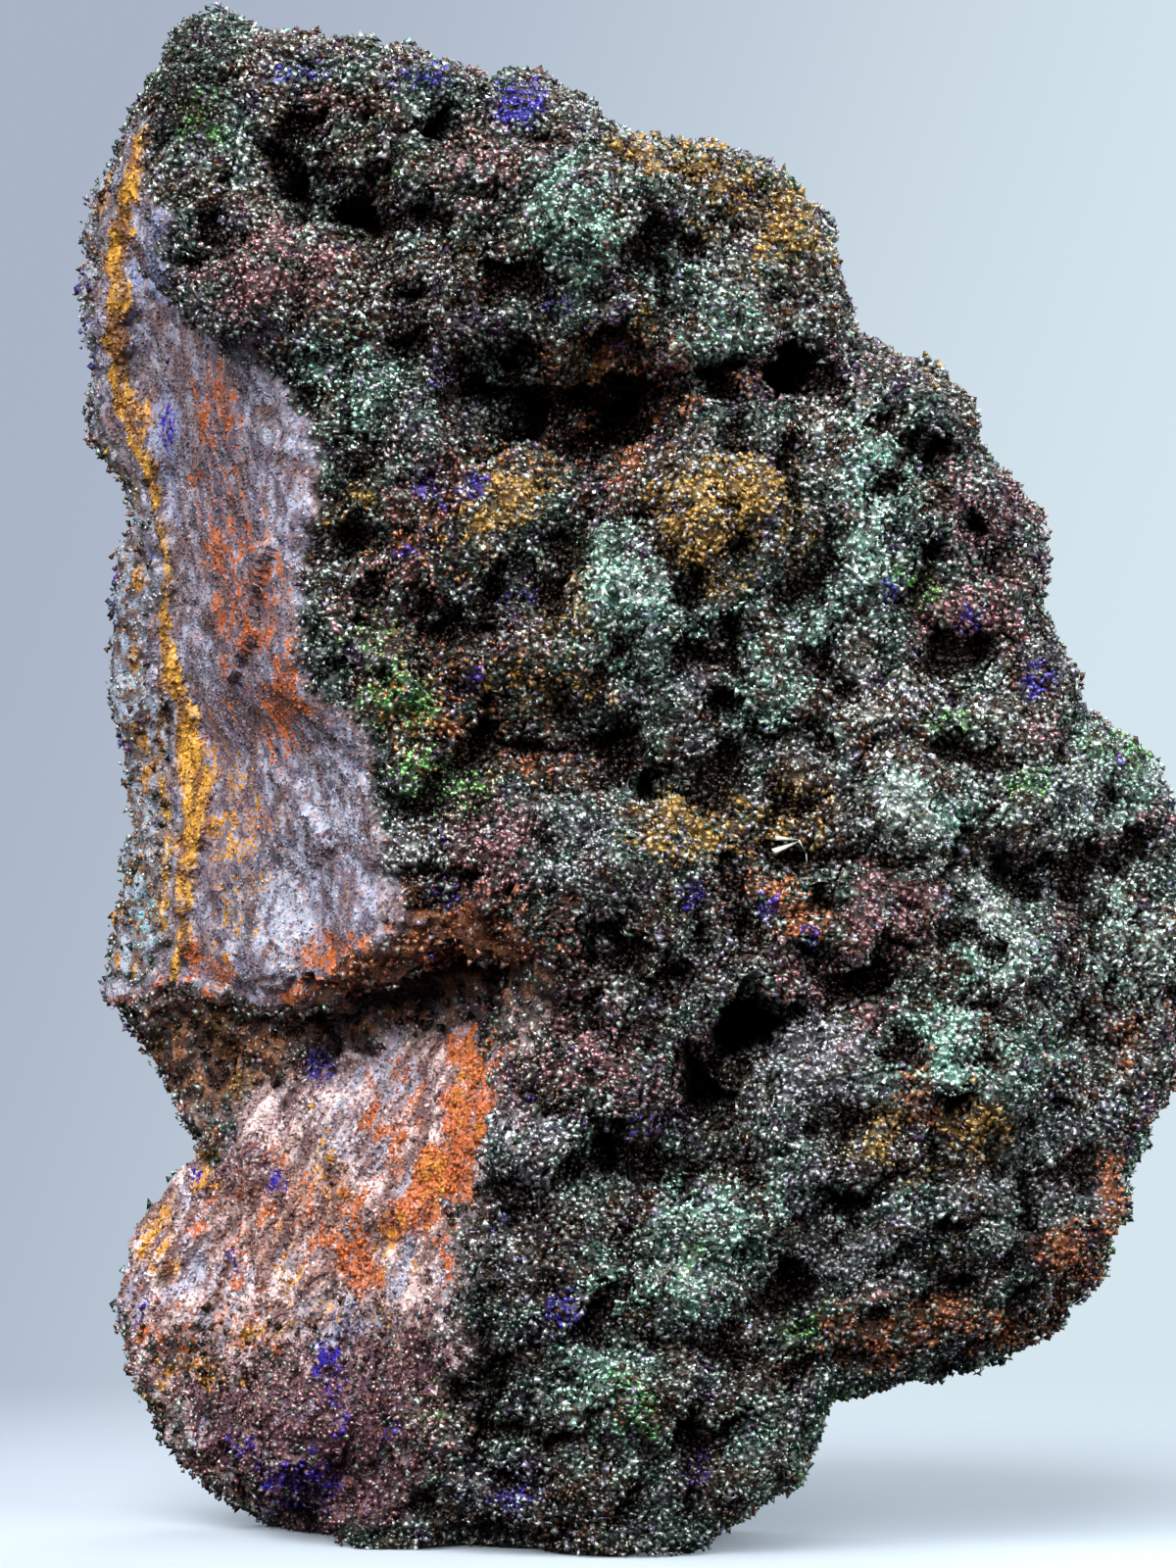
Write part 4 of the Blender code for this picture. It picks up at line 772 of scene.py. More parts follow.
STRAY_GRAINS = ((0.62, 0.17, 0.06), (0.50, 0.27, 0.08))
# Near-black colour of painted shade in small pits.
PIT_SHADE_COLOUR = (0.07, 0.045, 0.045)
# Rock of the recess and the hollow: rust, and near-black painted shade.
RECESS_ROCK_AND_SHADE = ((0.035, 0.018, 0.016), (0.30, 0.12, 0.045))
EDGE_ROCK = ((0.15, 0.10, 0.09), (0.36, 0.42, 0.53))
EDGE_OCHRE = (0.50, 0.24, 0.06)
EDGE_TURQUOISE = (0.24, 0.50, 0.55)
VEIN_OCHRE = ((0.24, 0.11, 0.045), (0.70, 0.37, 0.06))
BREAK_COLOURS = {
    "slate": (0.24, 0.28, 0.46),
    "pale": (0.42, 0.45, 0.58),
    "plum": (0.11, 0.055, 0.085),
    "rust": (0.54, 0.145, 0.05),
    "ochre": (0.66, 0.31, 0.05),
    "azurite": (0.03, 0.018, 0.42),
}
print(len(CRYSTAL_COLOURS), "colours on the crust and", len(BREAK_COLOURS), "stains on the break")

# %% [markdown]
# A short way to write node trees makes the recipes below easier to read. Each helper adds one
# node and hands back its output, and an input can be a number, a colour or another output.

# %% Short names for nodes
class Recipe:
    """Adds nodes to one material and links them."""

    def __init__(self, name):
        self.material = bpy.data.materials.new(name)
        self.material.use_nodes = True
        self.tree = self.material.node_tree
        self.shader = self.tree.nodes["Principled BSDF"]
        self.place = self.vectors("SCALE", self.node("ShaderNodeTexCoord").outputs["Object"], 1 / MM)

    def node(self, kind, **settings):
        made = self.tree.nodes.new(kind)
        for key, value in settings.items():
            setattr(made, key, value)
        return made

    def feed(self, socket, value):
        if isinstance(value, bpy.types.NodeSocket):
            self.tree.links.new(value, socket)
        elif isinstance(value, tuple) and len(value) == 3 and len(socket.default_value) == 4:
            socket.default_value = (*value, 1)
        else:
            socket.default_value = value

    def read(self, name):
        return self.node("ShaderNodeAttribute", attribute_name=name).outputs["Fac"]

    def maths(self, operation, a, b=0.0):
        made = self.node("ShaderNodeMath", operation=operation, use_clamp=False)
        self.feed(made.inputs[0], a)
        self.feed(made.inputs[1], b)
        return made.outputs[0]

    def scaled(self, value, by):
        return self.maths("MULTIPLY", value, by)

    def vectors(self, operation, a, b):
        made = self.node("ShaderNodeVectorMath", operation=operation)
        self.feed(made.inputs[0], a)
        self.feed(made.inputs["Scale" if operation == "SCALE" else 1], b)
        return made.outputs[0]

    def cells(self, per_mm):
        made = self.node("ShaderNodeTexVoronoi", feature="F1")
        self.feed(made.inputs["Vector"], self.place)
        made.inputs["Scale"].default_value = per_mm
        return made.outputs["Color"]

    def noise(self, per_mm, detail=3.0, stretch=1.0, lean=0.0):
        made = self.node("ShaderNodeTexNoise")
        place = self.place
        if stretch != 1.0:
            mapping = self.node("ShaderNodeMapping", vector_type="TEXTURE")
            self.feed(mapping.inputs["Vector"], place)
            mapping.inputs["Rotation"].default_value = (0, lean, 0)
            mapping.inputs["Scale"].default_value = (1, 1, stretch)
            place = mapping.outputs[0]
        self.feed(made.inputs["Vector"], place)
        made.inputs["Scale"].default_value = per_mm
        made.inputs["Detail"].default_value = detail
        return made.outputs["Fac"]

    def spread(self, value, low, high, to_low=0.0, to_high=1.0):
        made = self.node("ShaderNodeMapRange", interpolation_type="SMOOTHSTEP")
        for socket, v in zip(made.inputs, (value, low, high, to_low, to_high)):
            self.feed(socket, v)
        return made.outputs[0]

    def blend(self, under, over, factor):
        made = self.node("ShaderNodeMix", data_type="RGBA", clamp_factor=True)
        self.feed(made.inputs["Factor"], factor)
        self.feed(made.inputs[6], under)
        self.feed(made.inputs[7], over)
        return made.outputs[2]

    def blend_values(self, under, over, factor):
        made = self.node("ShaderNodeMix", data_type="FLOAT", clamp_factor=True)
        for socket, v in zip((made.inputs[0], made.inputs[2], made.inputs[3]), (factor, under, over)):
            self.feed(socket, v)
        return made.outputs[0]


print("a recipe can", [word for word in vars(Recipe) if not word.startswith("_")])

# %% [markdown]
# The break has one paint for its skin and its loose grains. Its ground is fine grey-violet rock,
# paler and redder on the lobe. Streaks follow the way the rock split, nearly upright above and
# leaning on the lobe. Over it lie stains made of single grains, which crowd into patches.

# %% Ground and stains of the break
GRAIN_LEVEL = 0.66
GRAIN_SOFTNESS = 0.04


def streaks_of(recipe):
    """Noise drawn out along the split: nearly upright on the face, leaning on the lobe."""
    upright = recipe.noise(2.6, 4.0, 1.4, FACE_LEAN)
    leaning = recipe.noise(2.8, 4.0, 4.0, LOBE_LEAN)
    return recipe.blend_values(upright, leaning, recipe.read("lobe"))


def ground(recipe, streaks):
    """Grey-violet rock of the face, and the paler, redder rock of the lobe."""
    face = recipe.blend(*FACE_ROCK, recipe.spread(streaks, 0.4, 0.62))
    lobe = recipe.blend(*LOBE_ROCK, recipe.spread(streaks, 0.40, 0.57))
    lobe = recipe.blend(lobe, LOBE_BLUE, recipe.spread(recipe.noise(1.2, 3.0, 2.0, LOBE_LEAN), 0.52, 0.66))
    rock = recipe.blend(face, lobe, recipe.scaled(recipe.read("lobe"), 0.9))
    brown = recipe.spread(recipe.noise(1.1, 3.0, 1.4, FACE_LEAN), 0.44, 0.6)
    return recipe.blend(rock, BROWN, recipe.scaled(brown, 0.5))


def grains(recipe, strength, speck):
    """A strength turned into single grains: more of them where it is higher."""
    level = recipe.maths("ADD", recipe.scaled(strength, 0.27), speck)
    taken = recipe.spread(level, GRAIN_LEVEL - GRAIN_SOFTNESS, GRAIN_LEVEL + GRAIN_SOFTNESS)
    return recipe.scaled(taken, recipe.spread(strength, 0.02, 0.25))


def stained(recipe, paint, streaks):
    """Paint with its stains, stray rusty grains, and painted shade in small pits."""
    speck = recipe.maths("ADD", recipe.scaled(recipe.noise(9.0, 2.0), 0.45), recipe.scaled(streaks, 0.55))
    for kind, colour in BREAK_COLOURS.items():
        paint = recipe.blend(paint, colour, grains(recipe, recipe.read(kind), speck))
    stray = recipe.scaled(recipe.spread(recipe.noise(12.0, 1.0), 0.58, 0.66), 0.5)
    paint = recipe.blend(paint, recipe.blend(*STRAY_GRAINS, recipe.noise(2.0)), stray)
    # Painted shade: dark spots stand in for the shade in small pits.
    pits = recipe.spread(recipe.noise(7.0, 2.0, 1.6, FACE_LEAN), 0.38, 0.32)
    return recipe.blend(paint, PIT_SHADE_COLOUR, recipe.scaled(pits, 0.6))


print("stains of the break:", list(BREAK_COLOURS))

# %% [markdown]
# Three more rocks show at the break. The recess and the hollow are rusty, and painted darker as
# painted shade. The left edge is a thin rim of blue-grey crust with ochre threads and a few
# turquoise grains. The vein is bright ochre earth, and its threads run along it.

# %% Paint of the break
def edge_paint(recipe):
    """The thin rim left of the vein."""
    rim = recipe.blend(*EDGE_ROCK, recipe.spread(recipe.noise(3.0, 3.0), 0.38, 0.58))
    rim = recipe.blend(rim, EDGE_OCHRE, recipe.spread(recipe.noise(2.4, 3.0, 3.0, VEIN_LEAN), 0.55, 0.64))
    some = recipe.scaled(recipe.read("mint"), 0.4)
    return recipe.blend(rim, EDGE_TURQUOISE, grains(recipe, some, recipe.noise(7.0, 2.0)))


def break_paint(recipe):
    """Colour of the broken rock, from the tints stored on the mesh."""
    streaks = streaks_of(recipe)
    paint = stained(recipe, ground(recipe, streaks), streaks)
    # Painted shade: the recess and the hollow are painted from near-black to rust.
    recess = recipe.blend(*RECESS_ROCK_AND_SHADE, recipe.spread(recipe.noise(2.5, 3.0), 0.40, 0.68))
    paint = recipe.blend(paint, recess, recipe.scaled(recipe.read("half"), 0.92))
    paint = recipe.blend(paint, edge_paint(recipe), recipe.read("edge"))
    threads = recipe.noise(2.6, 3.0, 3.0, VEIN_LEAN)
    ochre = recipe.blend(*VEIN_OCHRE, recipe.spread(threads, 0.41, 0.6))
    in_vein = recipe.maths("ADD", recipe.scaled(recipe.read("vein"), 0.7), recipe.noise(4.5, 3.0))
    return recipe.blend(paint, ochre, recipe.spread(in_vein, 0.85, 1.15))


print("the vein goes from", VEIN_OCHRE[0], "to", VEIN_OCHRE[1])

# %% [markdown]
# The crust is a mix of grains, each in one colour. Two random numbers decide which: where mint
# is strong, most grains turn mint and some stay dark. Pale grains are rare and earthy ones are
# common. Malachite and azurite grains shine like dark metal here, since iron covers them.

# %% Paint of the crust
def crust_paint(recipe, own, other):
    """Colour and metallic share of a grain with two random numbers of its own, darkened by painted shade.
    """
    blend, spread = recipe.blend, recipe.spread
    earth = blend(*EARTH, spread(recipe.noise(0.8, 2.0), 0.42, 0.58))
    earth = blend(earth, VIOLET_EARTH, spread(recipe.noise(1.3, 2.0), 0.54, 0.64))
    colour = blend(earth, PALE_GRAIN, recipe.maths("POWER", own, 3.0))
    metal = 0.7
    patchy = spread(recipe.noise(2.0, 2.0), 0.32, 0.62, 0.25, 1.15)
    for kind, paint in CRYSTAL_COLOURS.items():
        taken = recipe.maths("SUBTRACT", recipe.scaled(recipe.read(kind), patchy), other)
        share = spread(taken, -0.15, 0.1, 0.0, 0.85)
        colour = blend(colour, paint, share)
        metal = recipe.blend_values(metal, 0.35 if kind in EARTHY else 0.6, share)
    # Painted shade: grains in hollows, creases and dark spots are blended towards near-black.
    return blend(PAINTED_SHADE_COLOUR, colour, spread(recipe.read("lit"), 0.0, 1.0, 0.03, 1.0)), metal


print("crust paint uses", list(CRYSTAL_COLOURS))

# %% [markdown]
# The skin's finish. On the crust its tiny cells are the smallest grains, between the crystals
# planted later. On the break it carries the other paint. Grains glint one by one, because the
# shading normal is tipped in every cell. A bump map would only make soft waves.

# %% Finish of the skin
GRAINS_PER_MM = 13.0
SHUFFLE = 13.7
# Share of colour that the skin's grains keep. They lie under and between the crystals, and the rest is
# painted shade.
GRAIN_SHARE_IN_SHADE = 0.6
HALF_BARE = 0.8
TILT_ON_CRUST = 1.3
TILT_ON_BREAK = 0.6


def tilt_grains(recipe, cell_colour, amount):
    """Tips the shading normal a little in every tiny cell."""
    centred = recipe.vectors("SUBTRACT", cell_colour, (0.5, 0.5, 0.5))
    facing = recipe.node("ShaderNodeNewGeometry").outputs["Normal"]
    tipped = recipe.vectors("ADD", facing, recipe.vectors("SCALE", centred, amount))
    return recipe.vectors("NORMALIZE", tipped, (0.0, 0.0, 0.0))


rock = Recipe("rock_finish")
cell_colour = rock.cells(GRAINS_PER_MM)
split = rock.node("ShaderNodeSeparateXYZ")
rock.feed(split.inputs[0], cell_colour)
own, other = (rock.maths("FRACT", rock.scaled(split.outputs[i], SHUFFLE)) for i in (0, 1))
grain_colour, grain_metal = crust_paint(rock, own, other)
# Painted shade: the skin's grains under and between the crystals are darkened.
grain_colour = rock.blend((0.0, 0.0, 0.0), grain_colour, GRAIN_SHARE_IN_SHADE)
on_break = rock.maths("MAXIMUM", rock.read("bare"), rock.scaled(rock.read("half"), HALF_BARE))
on_break = rock.maths("MAXIMUM", on_break, rock.read("edge"))
surface = rock.shader.inputs
rock.feed(surface["Base Color"], rock.blend(grain_colour, break_paint(rock), on_break))
rock.feed(surface["Roughness"], rock.spread(other, 0.0, 1.0, 0.15, 0.5))
rock.feed(surface["Metallic"], rock.blend_values(grain_metal, 0.0, on_break))
tilt = rock.blend_values(TILT_ON_CRUST, TILT_ON_BREAK, on_break)
rock.feed(surface["Normal"], tilt_grains(rock, cell_colour, tilt))
stone.data.materials.append(rock.material)
print("rock finish has", len(rock.tree.nodes), "nodes")

# %% [markdown]
# The crust is a druse, a carpet of crystals a tenth of a millimetre across. A texture can't give
# its fuzzy outline or the way single faces flash. So each crystal is real geometry: a small
# pyramid of four triangles, half sunk in the rock and leaning at random. Scattering by area
# keeps the carpet even, and building all corners in one array keeps it quick.

# %% Scatter points over the skin
luck = np.random.default_rng(2024)


def triangles_of(mesh):
    """Corner numbers of all triangles."""
    mesh.calc_loop_triangles()
    numbers = np.empty(len(mesh.loop_triangles) * 3, np.int32)
    mesh.loop_triangles.foreach_get("vertices", numbers)
    return numbers.reshape(-1, 3)


def scatter(wanted, count):
    """Random points on the skin, denser where wanted is higher, and the triangles they lie on."""
    a, b, c = (places[triangles[:, i]] for i in range(3))
    running = np.cumsum(area * wanted)
    marks = (np.arange(count) + luck.random(count)) / count * running[-1]
    which = np.minimum(np.searchsorted(running, marks), len(triangles) - 1)
    u, v = luck.random(count), luck.random(count)
    flip = u + v > 1
    u, v = np.where(flip, 1 - u, u), np.where(flip, 1 - v, v)
    points = a[which] + (b - a)[which] * u[:, None] + (c - a)[which] * v[:, None]
    return points, which


def unit(vectors):
    """The same directions, each of length 1."""
    return vectors / np.maximum(np.linalg.norm(vectors, axis=1, keepdims=True), 1e-12)


triangles = triangles_of(stone.data)
places, normals = corners(stone.data)
facing = unit(normals[triangles].sum(axis=1))
on_triangle = {k: v[triangles].mean(axis=1) for k, v in skin_tints.items()}
first, second, third = (places[triangles[:, i]] for i in range(3))
area = np.linalg.norm(np.cross(second - first, third - first), axis=1) / 2
print("skin area", round(area.sum() / MM ** 2), "square mm")

# %% [markdown]
# One function turns points into crystals. A pyramid has three corners sunk round the point and
# a tip that leans. The corners are turned at random, so the faces look every way, and some of
# them always mirror the light.

# %% Grow crystals
PYRAMID = np.array([(0, 1, 3), (1, 2, 3), (2, 0, 3), (2, 1, 0)])
CORNER_WAYS = np.array([(1, 0, -0.45), (-0.5, 0.87, -0.45), (-0.5, -0.87, -0.45), (0, 0, 0.55)])


def crystals(points, up, size, rise, jitter):
    """Corners of one squat pyramid for every point, with its tip roughly up, in metres."""
    count = len(points)
    side = unit(np.cross(up, unit(luck.normal(size=(count, 3)))))
    axes = np.stack([side, np.cross(up, side), up], axis=1)
    ways = CORNER_WAYS + luck.normal(0, jitter, (count, 4, 3))
    middle = (points + up * rise[:, None])[:, None, :]
    return middle + np.einsum("nki,nij->nkj", ways, axes) * size[:, None, None]


print("a crystal has", len(PYRAMID), "triangles")

# %% [markdown]
# Adding fifty thousand objects would choke Blender. One mesh takes all corners in one go. Every
# crystal also gets its own spot of the UV map, where its colours can be baked for the export.

# %% From corners to a piece
LOWER_HALF = [(0.05, 0.05), (0.75, 0.05), (0.05, 0.75)]
UPPER_HALF = [(0.95, 0.95), (0.25, 0.95), (0.95, 0.25)]


def mesh_of(name, shapes):
    """One mesh with a closed pyramid for every row of corners."""
    count, corner_count = shapes.shape[:2]
    mesh = bpy.data.meshes.new(name)
    numbers = (np.arange(count)[:, None, None] * corner_count + PYRAMID).reshape(-1)
    mesh.vertices.add(count * corner_count)
    mesh.vertices.foreach_set("co", shapes.ravel())
    mesh.loops.add(len(numbers))
    mesh.loops.foreach_set("vertex_index", numbers.astype(np.int32))
    mesh.polygons.add(len(numbers) // 3)
    mesh.polygons.foreach_set("loop_start", np.arange(0, len(numbers), 3, dtype=np.int32))
    mesh.update(calc_edges=True)
    mesh.validate()
    return mesh


def add_uv(mesh):
    """Gives every pair of triangles its own small square of the UV map."""
    count = len(mesh.polygons)
    squares = math.ceil(math.sqrt(count / 2))
    number = np.arange(count) // 2
    corner = np.stack([number % squares, number // squares], axis=1) / squares
    upper = (np.arange(count) % 2)[:, None, None]
    uv = (corner[:, None, :] + np.where(upper, UPPER_HALF, LOWER_HALF) / squares).astype(np.float32)
    mesh.uv_layers.new(name="OFBake").data.foreach_set("uv", uv.ravel())


shown = [stone]


def show(name, shapes, finish, strength):
    """Adds a piece of the stone made of crystals, with their finish and tints."""
    mesh = mesh_of(name, shapes)
    store(mesh, {kind: np.repeat(values, shapes.shape[1]) for kind, values in strength.items()})
    add_uv(mesh)
    mesh.materials.append(finish)
    obj = bpy.data.objects.new(name, mesh)
    bpy.context.scene.collection.objects.link(obj)
    shown.append(obj)
    print(name, "has", len(shapes), "crystals,", len(mesh.polygons), "triangles")


print("first shown piece:", shown[0].name)

# %% [markdown]
# Crystals wear the same paint as the grains of the skin, but each one takes a single colour: its
# two random numbers are kept on the mesh. Most are dull and a few are mirrors.

# %% Finish of the crystals
druse = Recipe("druse_finish")
crystal_colour, crystal_metal = crust_paint(druse, druse.read("own"), druse.read("other"))
druse.feed(druse.shader.inputs["Base Color"], crystal_colour)
druse.feed(druse.shader.inputs["Metallic"], crystal_metal)
druse.feed(druse.shader.inputs["Roughness"], druse.spread(druse.read("other"), 0.0, 1.0, 0.1, 0.5))
print("druse finish has", len(druse.tree.nodes), "nodes")

# %% [markdown]
# The front is what people look at, so it gets the finest carpet. The sides and the back get
# larger crystals and fewer of them. Each carpet stays under 200,000 triangles.

# %% Where crystals grow
CLUMP_WIDTH = 0.36
THINNED = 0.8
LOBE_SHARE = 0.45
LOBE_CRUST_TOP = 5.6
UPPER_FROM = 17

middles = places[triangles].mean(axis=1)
centre_up = front_view(middles)[1]
crust = np.clip(1 - on_triangle["bare"] * 1.3, 0, 1)
crust *= 0.45 + 0.55 * ease(domes(middles, CLUMP_WIDTH * MM, 80), 0.1, 0.6)
crust *= 1 - THINNED * np.maximum(on_triangle["half"], on_triangle["edge"])
crust += LOBE_SHARE * on_triangle["lobe"] * (1 - ease(centre_up, LOBE_CRUST_TOP - 2, LOBE_CRUST_TOP))
seen = ease(-facing[:, 1], -0.35, 0.0)
CARPETS = {
    "druse_front_upper": (seen * (centre_up > UPPER_FROM), 0.085),
    "druse_front_lower": (seen * (centre_up <= UPPER_FROM), 0.085),
    "druse_back": (1 - seen, 0.105),
}
print(round(float((area * seen).sum() / area.sum()) * 100), "% of the skin counts as front")

# %% [markdown]
# Crystals and sand are sown alike: points, a direction that leans off the skin, and a size. Each
# grain takes the tints of its triangle and draws two random numbers. In a clump the crystals
# stand higher and catch more light. In the creases between clumps their colour is also darkened, as
# painted shade.

# %% Plant the carpets
PER_PIECE = 48500


def sow(wanted, lean, width, sizes):
    """Points of one piece, their triangles, the ways their grains point, and how big they are."""
    points, which = scatter(wanted, PER_PIECE)
    up = unit(facing[which] + luck.normal(0, lean, (PER_PIECE, 3)))
    return points, which, up, width * MM * luck.uniform(*sizes, PER_PIECE)


def strengths_on(which, kinds):
    """Tints of the triangles, and two random numbers for every grain."""
    strength = {kind: on_triangle[kind][which] for kind in kinds}
    strength["own"] = luck.random(len(which))
    strength["other"] = luck.random(len(which))
    return strength


for name, (where, width) in CARPETS.items():
    points, which, up, grow = sow(where * crust, 0.22, width, (0.55, 1.5))
    clump = domes(points, CLUMP_WIDTH * MM, 80)
    shapes = crystals(points, up, grow, 0.1 * grow + 0.16 * MM * clump, 0.25)
    keep = shapes[:, :, 2].min(axis=1) > 0
    strength = strengths_on(which[keep], (*CRYSTAL_COLOURS, "lit"))
    # Painted shade: crystals in the creases between clumps are painted darker.
    strength["lit"] = strength["lit"] * (0.15 + 0.85 * ease(clump[keep], 0.15, 0.75))
    show(name, shapes[keep], druse.material, strength)
print("left out at the foot:", PER_PIECE - len(shapes[keep]), "crystals of the last carpet")

# %% [markdown]
# The break looks smooth from afar, but up close it is sandy. Grains half as big as the crystals
# cover it, the recess, the hollow and the left edge. They take the paint of the break, each a
# little lighter or darker.

# %% Sand the break
SAND_WIDTH = 0.045
COARSER = 0.5

sand = Recipe("sand_finish")
darker = sand.node("ShaderNodeHueSaturation")
sand.feed(darker.inputs["Value"], sand.spread(sand.read("own"), 0.0, 1.0, 0.45, 1.5))
sand.feed(darker.inputs["Color"], break_paint(sand))
sand.feed(sand.shader.inputs["Base Color"], darker.outputs[0])
sand.feed(sand.shader.inputs["Roughness"], sand.spread(sand.read("other"), 0.0, 1.0, 0.22, 0.6))
sand.shader.inputs["Metallic"].default_value = 0.2

open_rock = np.maximum.reduce([on_triangle["bare"], THINNED * on_triangle["half"], on_triangle["edge"]])
points, which, up, grow = sow(open_rock, 0.25, SAND_WIDTH, (0.6, 1.5))
grow *= 1 + COARSER * (on_triangle["vein"][which] + on_triangle["lobe"][which])
shapes = crystals(points, up, grow, 0.1 * grow, 0.3)
on_sand = (*BREAK_COLOURS, "mint", "vein", "lobe", "half", "edge")
show("break_sand", shapes, sand.material, strengths_on(which, on_sand))
print("a grain of sand is", SAND_WIDTH, "mm wide")

# %% [markdown]
# Two small strangers stick to the stone: a few cream-white needles on the crust, and a pale
# thread on the break. Each straight bit is one long, thin pyramid between two places read off
# the front view, laid just in front of the nearest skin.

# %% Needles and a thread
NEARBY = 0.4
LAID_BEFORE = 0.15
BITS = [
    (15.4, 15.6, 15.98, 15.56, 0.12), (15.35, 15.28, 15.95, 15.54, 0.17),
    (15.93, 15.55, 16.09, 15.24, 0.05), (16.09, 15.26, 16.11, 15.0, 0.04),
    (15.76, 16.0, 15.83, 15.86, 0.09), (16.14, 15.68, 16.2, 15.6, 0.07),
    (3.8, 21.26, 3.96, 21.17, 0.02), (3.95, 21.18, 4.04, 21.02, 0.02),
]


def in_front_of(across, up):
    """The place in metres a little before the nearest skin, at a place of the front view."""
    near = np.hypot(skin_across - across, skin_up - up) < NEARBY
    depth = places[near, 1].min() / MM - LAID_BEFORE
    farther = (VIEW_DISTANCE + depth) / VIEW_DISTANCE
    x = VIEW_ACROSS + (across - LEFT_EDGE - VIEW_ACROSS) * farther
    return np.array((x, depth, VIEW_UP + (up - VIEW_UP) * farther)) * MM


skin_across, skin_up = front_view(places)
shapes = []
for x0, y0, x1, y1, width in BITS:
    start, end = in_front_of(x0, y0), in_front_of(x1, y1)
    along = (end - start) / np.linalg.norm(end - start)
    side = np.cross(along, (0, 1, 0)) * width * MM
    nearer = start + along * width * MM / 2 + (0, -width * MM / 2, 0)
    shapes.append([start + side / 2, start - side / 2, nearer, end])
linen = Recipe("needle_finish")
linen.feed(linen.shader.inputs["Base Color"], (0.86, 0.84, 0.74))
linen.shader.inputs["Roughness"].default_value = 0.45
show("pale_needles", np.array(shapes), linen.material, {})
print("needles laid", LAID_BEFORE, "mm before the skin")

# %% [markdown]
# All pieces ride on the one solid body and stand for the packed node.

# %% Tie the pieces to the solid
for shown_piece in shown:
    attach(shown_piece, "root")
    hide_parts("azurite_malachite_stone")
total = sum(len(shown_piece.data.polygons) for shown_piece in shown)
print(len(shown), "pieces,", total, "triangles")

# %% [markdown]
# The stage is a pale floor that fades out round the stone, inside a large pale shell. The shell
# is only for the eye: it gives no light and shows in no crystal. A real studio does the same by
# keeping the backdrop far away. Without it the crystals would mirror a white room and lose
# their black.

# %% Floor and backdrop
def stage_part(name, build, **settings):
    """An object of the stage, built by one operator."""
    mesh = bpy.data.meshes.new(name)
    work = bmesh.new()
    build(work, **settings)
    work.to_mesh(mesh)
    work.free()
    return bpy.data.objects.new(name, mesh)


floor = stage_part("floor", bmesh.ops.create_circle, cap_ends=True, radius=0.4, segments=96)
shell = stage_part("shell", bmesh.ops.create_uvsphere, u_segments=64, v_segments=32, radius=1.0)
for part in (floor, shell):
    bpy.context.scene.collection.objects.link(part)
    part.visible_diffuse = False
    part.visible_glossy = False
    part.visible_transmission = False
shell.visible_shadow = False
print("stage of", floor.name, "and", shell.name)

# %% [markdown]
# The floor is matt paper. Its alpha falls with the distance from the stone, which hides the
# horizon. The shell glows in a blue-grey that gets paler to the right, as in the picture.

# %% Paper and glow
paper = Recipe("floor_finish")
paper.feed(paper.shader.inputs["Base Color"], (0.60, 0.69, 0.80))
paper.shader.inputs["Roughness"].default_value = 0.9
axes = paper.node("ShaderNodeSeparateXYZ")
paper.feed(axes.inputs[0], paper.place)
squares = [paper.maths("POWER", axes.outputs[i], 2.0) for i in (0, 1)]
from_middle = paper.maths("SQRT", paper.maths("ADD", *squares))
paper.feed(paper.shader.inputs["Alpha"], paper.spread(from_middle, 8.0, 45.0, 0.85, 0.0))
floor.data.materials.append(paper.material)

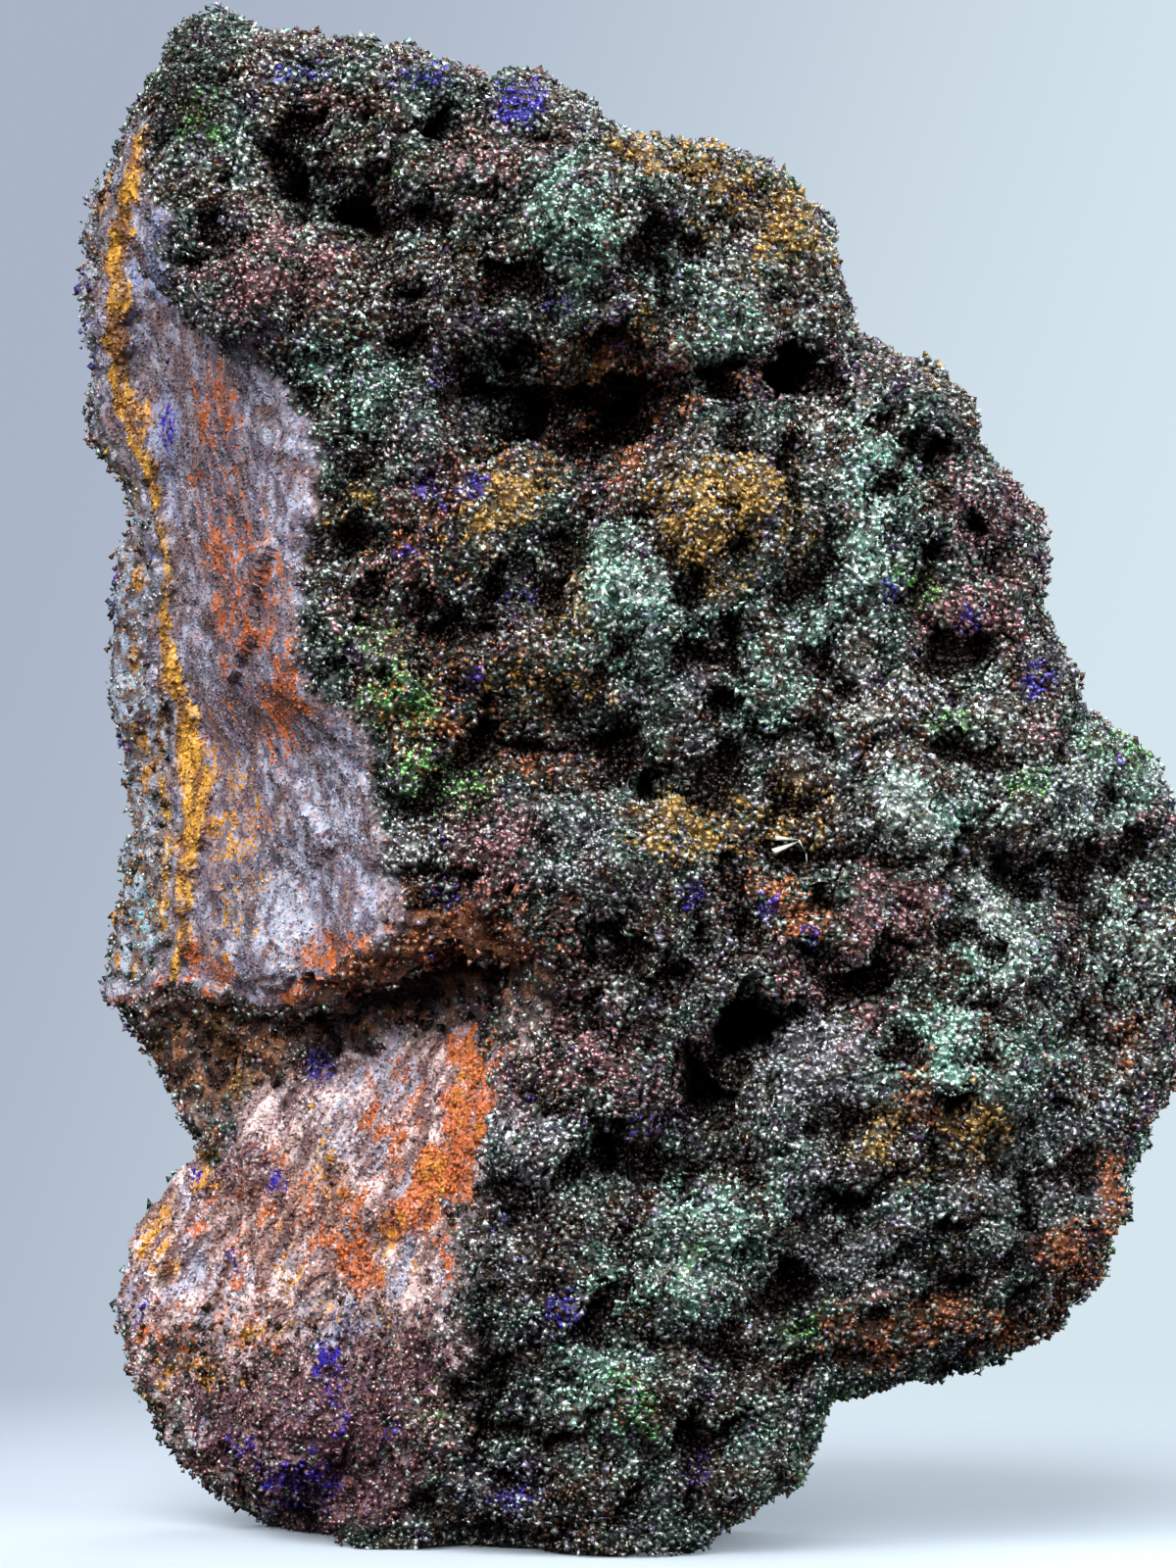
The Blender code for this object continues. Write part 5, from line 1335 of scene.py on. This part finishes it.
glow = Recipe("shell_finish")
axes = glow.node("ShaderNodeSeparateXYZ")
glow.feed(axes.inputs[0], glow.place)
to_the_right = glow.maths("ADD", axes.outputs[0], glow.scaled(axes.outputs[2], -0.35))
tone = glow.blend((0.40, 0.46, 0.57), (0.67, 0.79, 0.86), glow.spread(to_the_right, -130.0, 90.0))
light = glow.node("ShaderNodeEmission")
glow.feed(light.inputs["Color"], tone)
glow.tree.links.new(light.outputs[0], glow.tree.nodes["Material Output"].inputs["Surface"])
shell.data.materials.append(glow.material)
print("finishes of the stage:", paper.material.name, "and", glow.material.name)

# %% [markdown]
# The light in the picture comes from above and in front, a little from the left. It is a broad
# soft source, so many crystal faces catch it, and the rest mirror a dark room. A weaker lamp at
# the right fills the shadows, and another behind keeps the back from going black.

# %% Soft lights in a dark room
STONE_MIDDLE = Vector((0, 0, 0.017))


def softbox(name, place, size, brightness, colour):
    """A square lamp at a place in metres, turned to the stone's middle."""
    lamp = bpy.data.lights.new(name, "AREA")
    lamp.size = size
    lamp.energy = brightness * math.pi * size * size
    lamp.color = colour
    obj = bpy.data.objects.new(name, lamp)
    obj.location = place
    obj.rotation_euler = (STONE_MIDDLE - Vector(place)).to_track_quat("-Z", "Y").to_euler()
    obj.visible_camera = False
    bpy.context.scene.collection.objects.link(obj)


softbox("key", (-0.11, -0.21, 0.215), 0.30, 7.8, (1.0, 0.99, 0.97))
softbox("side", (0.25, -0.18, 0.13), 0.26, 5.8, (0.96, 0.98, 1.0))
softbox("back", (0.10, 0.24, 0.18), 0.22, 3.6, (0.93, 0.97, 1.0))
room = bpy.data.worlds.new("room")
room.use_nodes = True
air = room.node_tree.nodes["Background"].inputs
air["Color"].default_value = (0.75, 0.85, 1.0, 1)
air["Strength"].default_value = 0.018
bpy.context.scene.world = room
bpy.context.scene.view_settings.view_transform = "Standard"
print("three lamps and a dim room")

# %% [markdown]
# The camera looks straight at the good face from the photograph's distance and height.

# %% Camera
camera = bpy.data.objects.new("camera", bpy.data.cameras.new("camera"))
bpy.context.scene.collection.objects.link(camera)
camera.location = (VIEW_ACROSS * MM, -VIEW_DISTANCE * MM, VIEW_UP * MM)
camera.rotation_euler = (math.radians(90), 0, 0)
camera.data.lens = 157.0
camera.data.sensor_width = 36.0
camera.data.clip_start = 0.01
bpy.context.scene.camera = camera
print("camera", [round(c, 4) for c in camera.location])
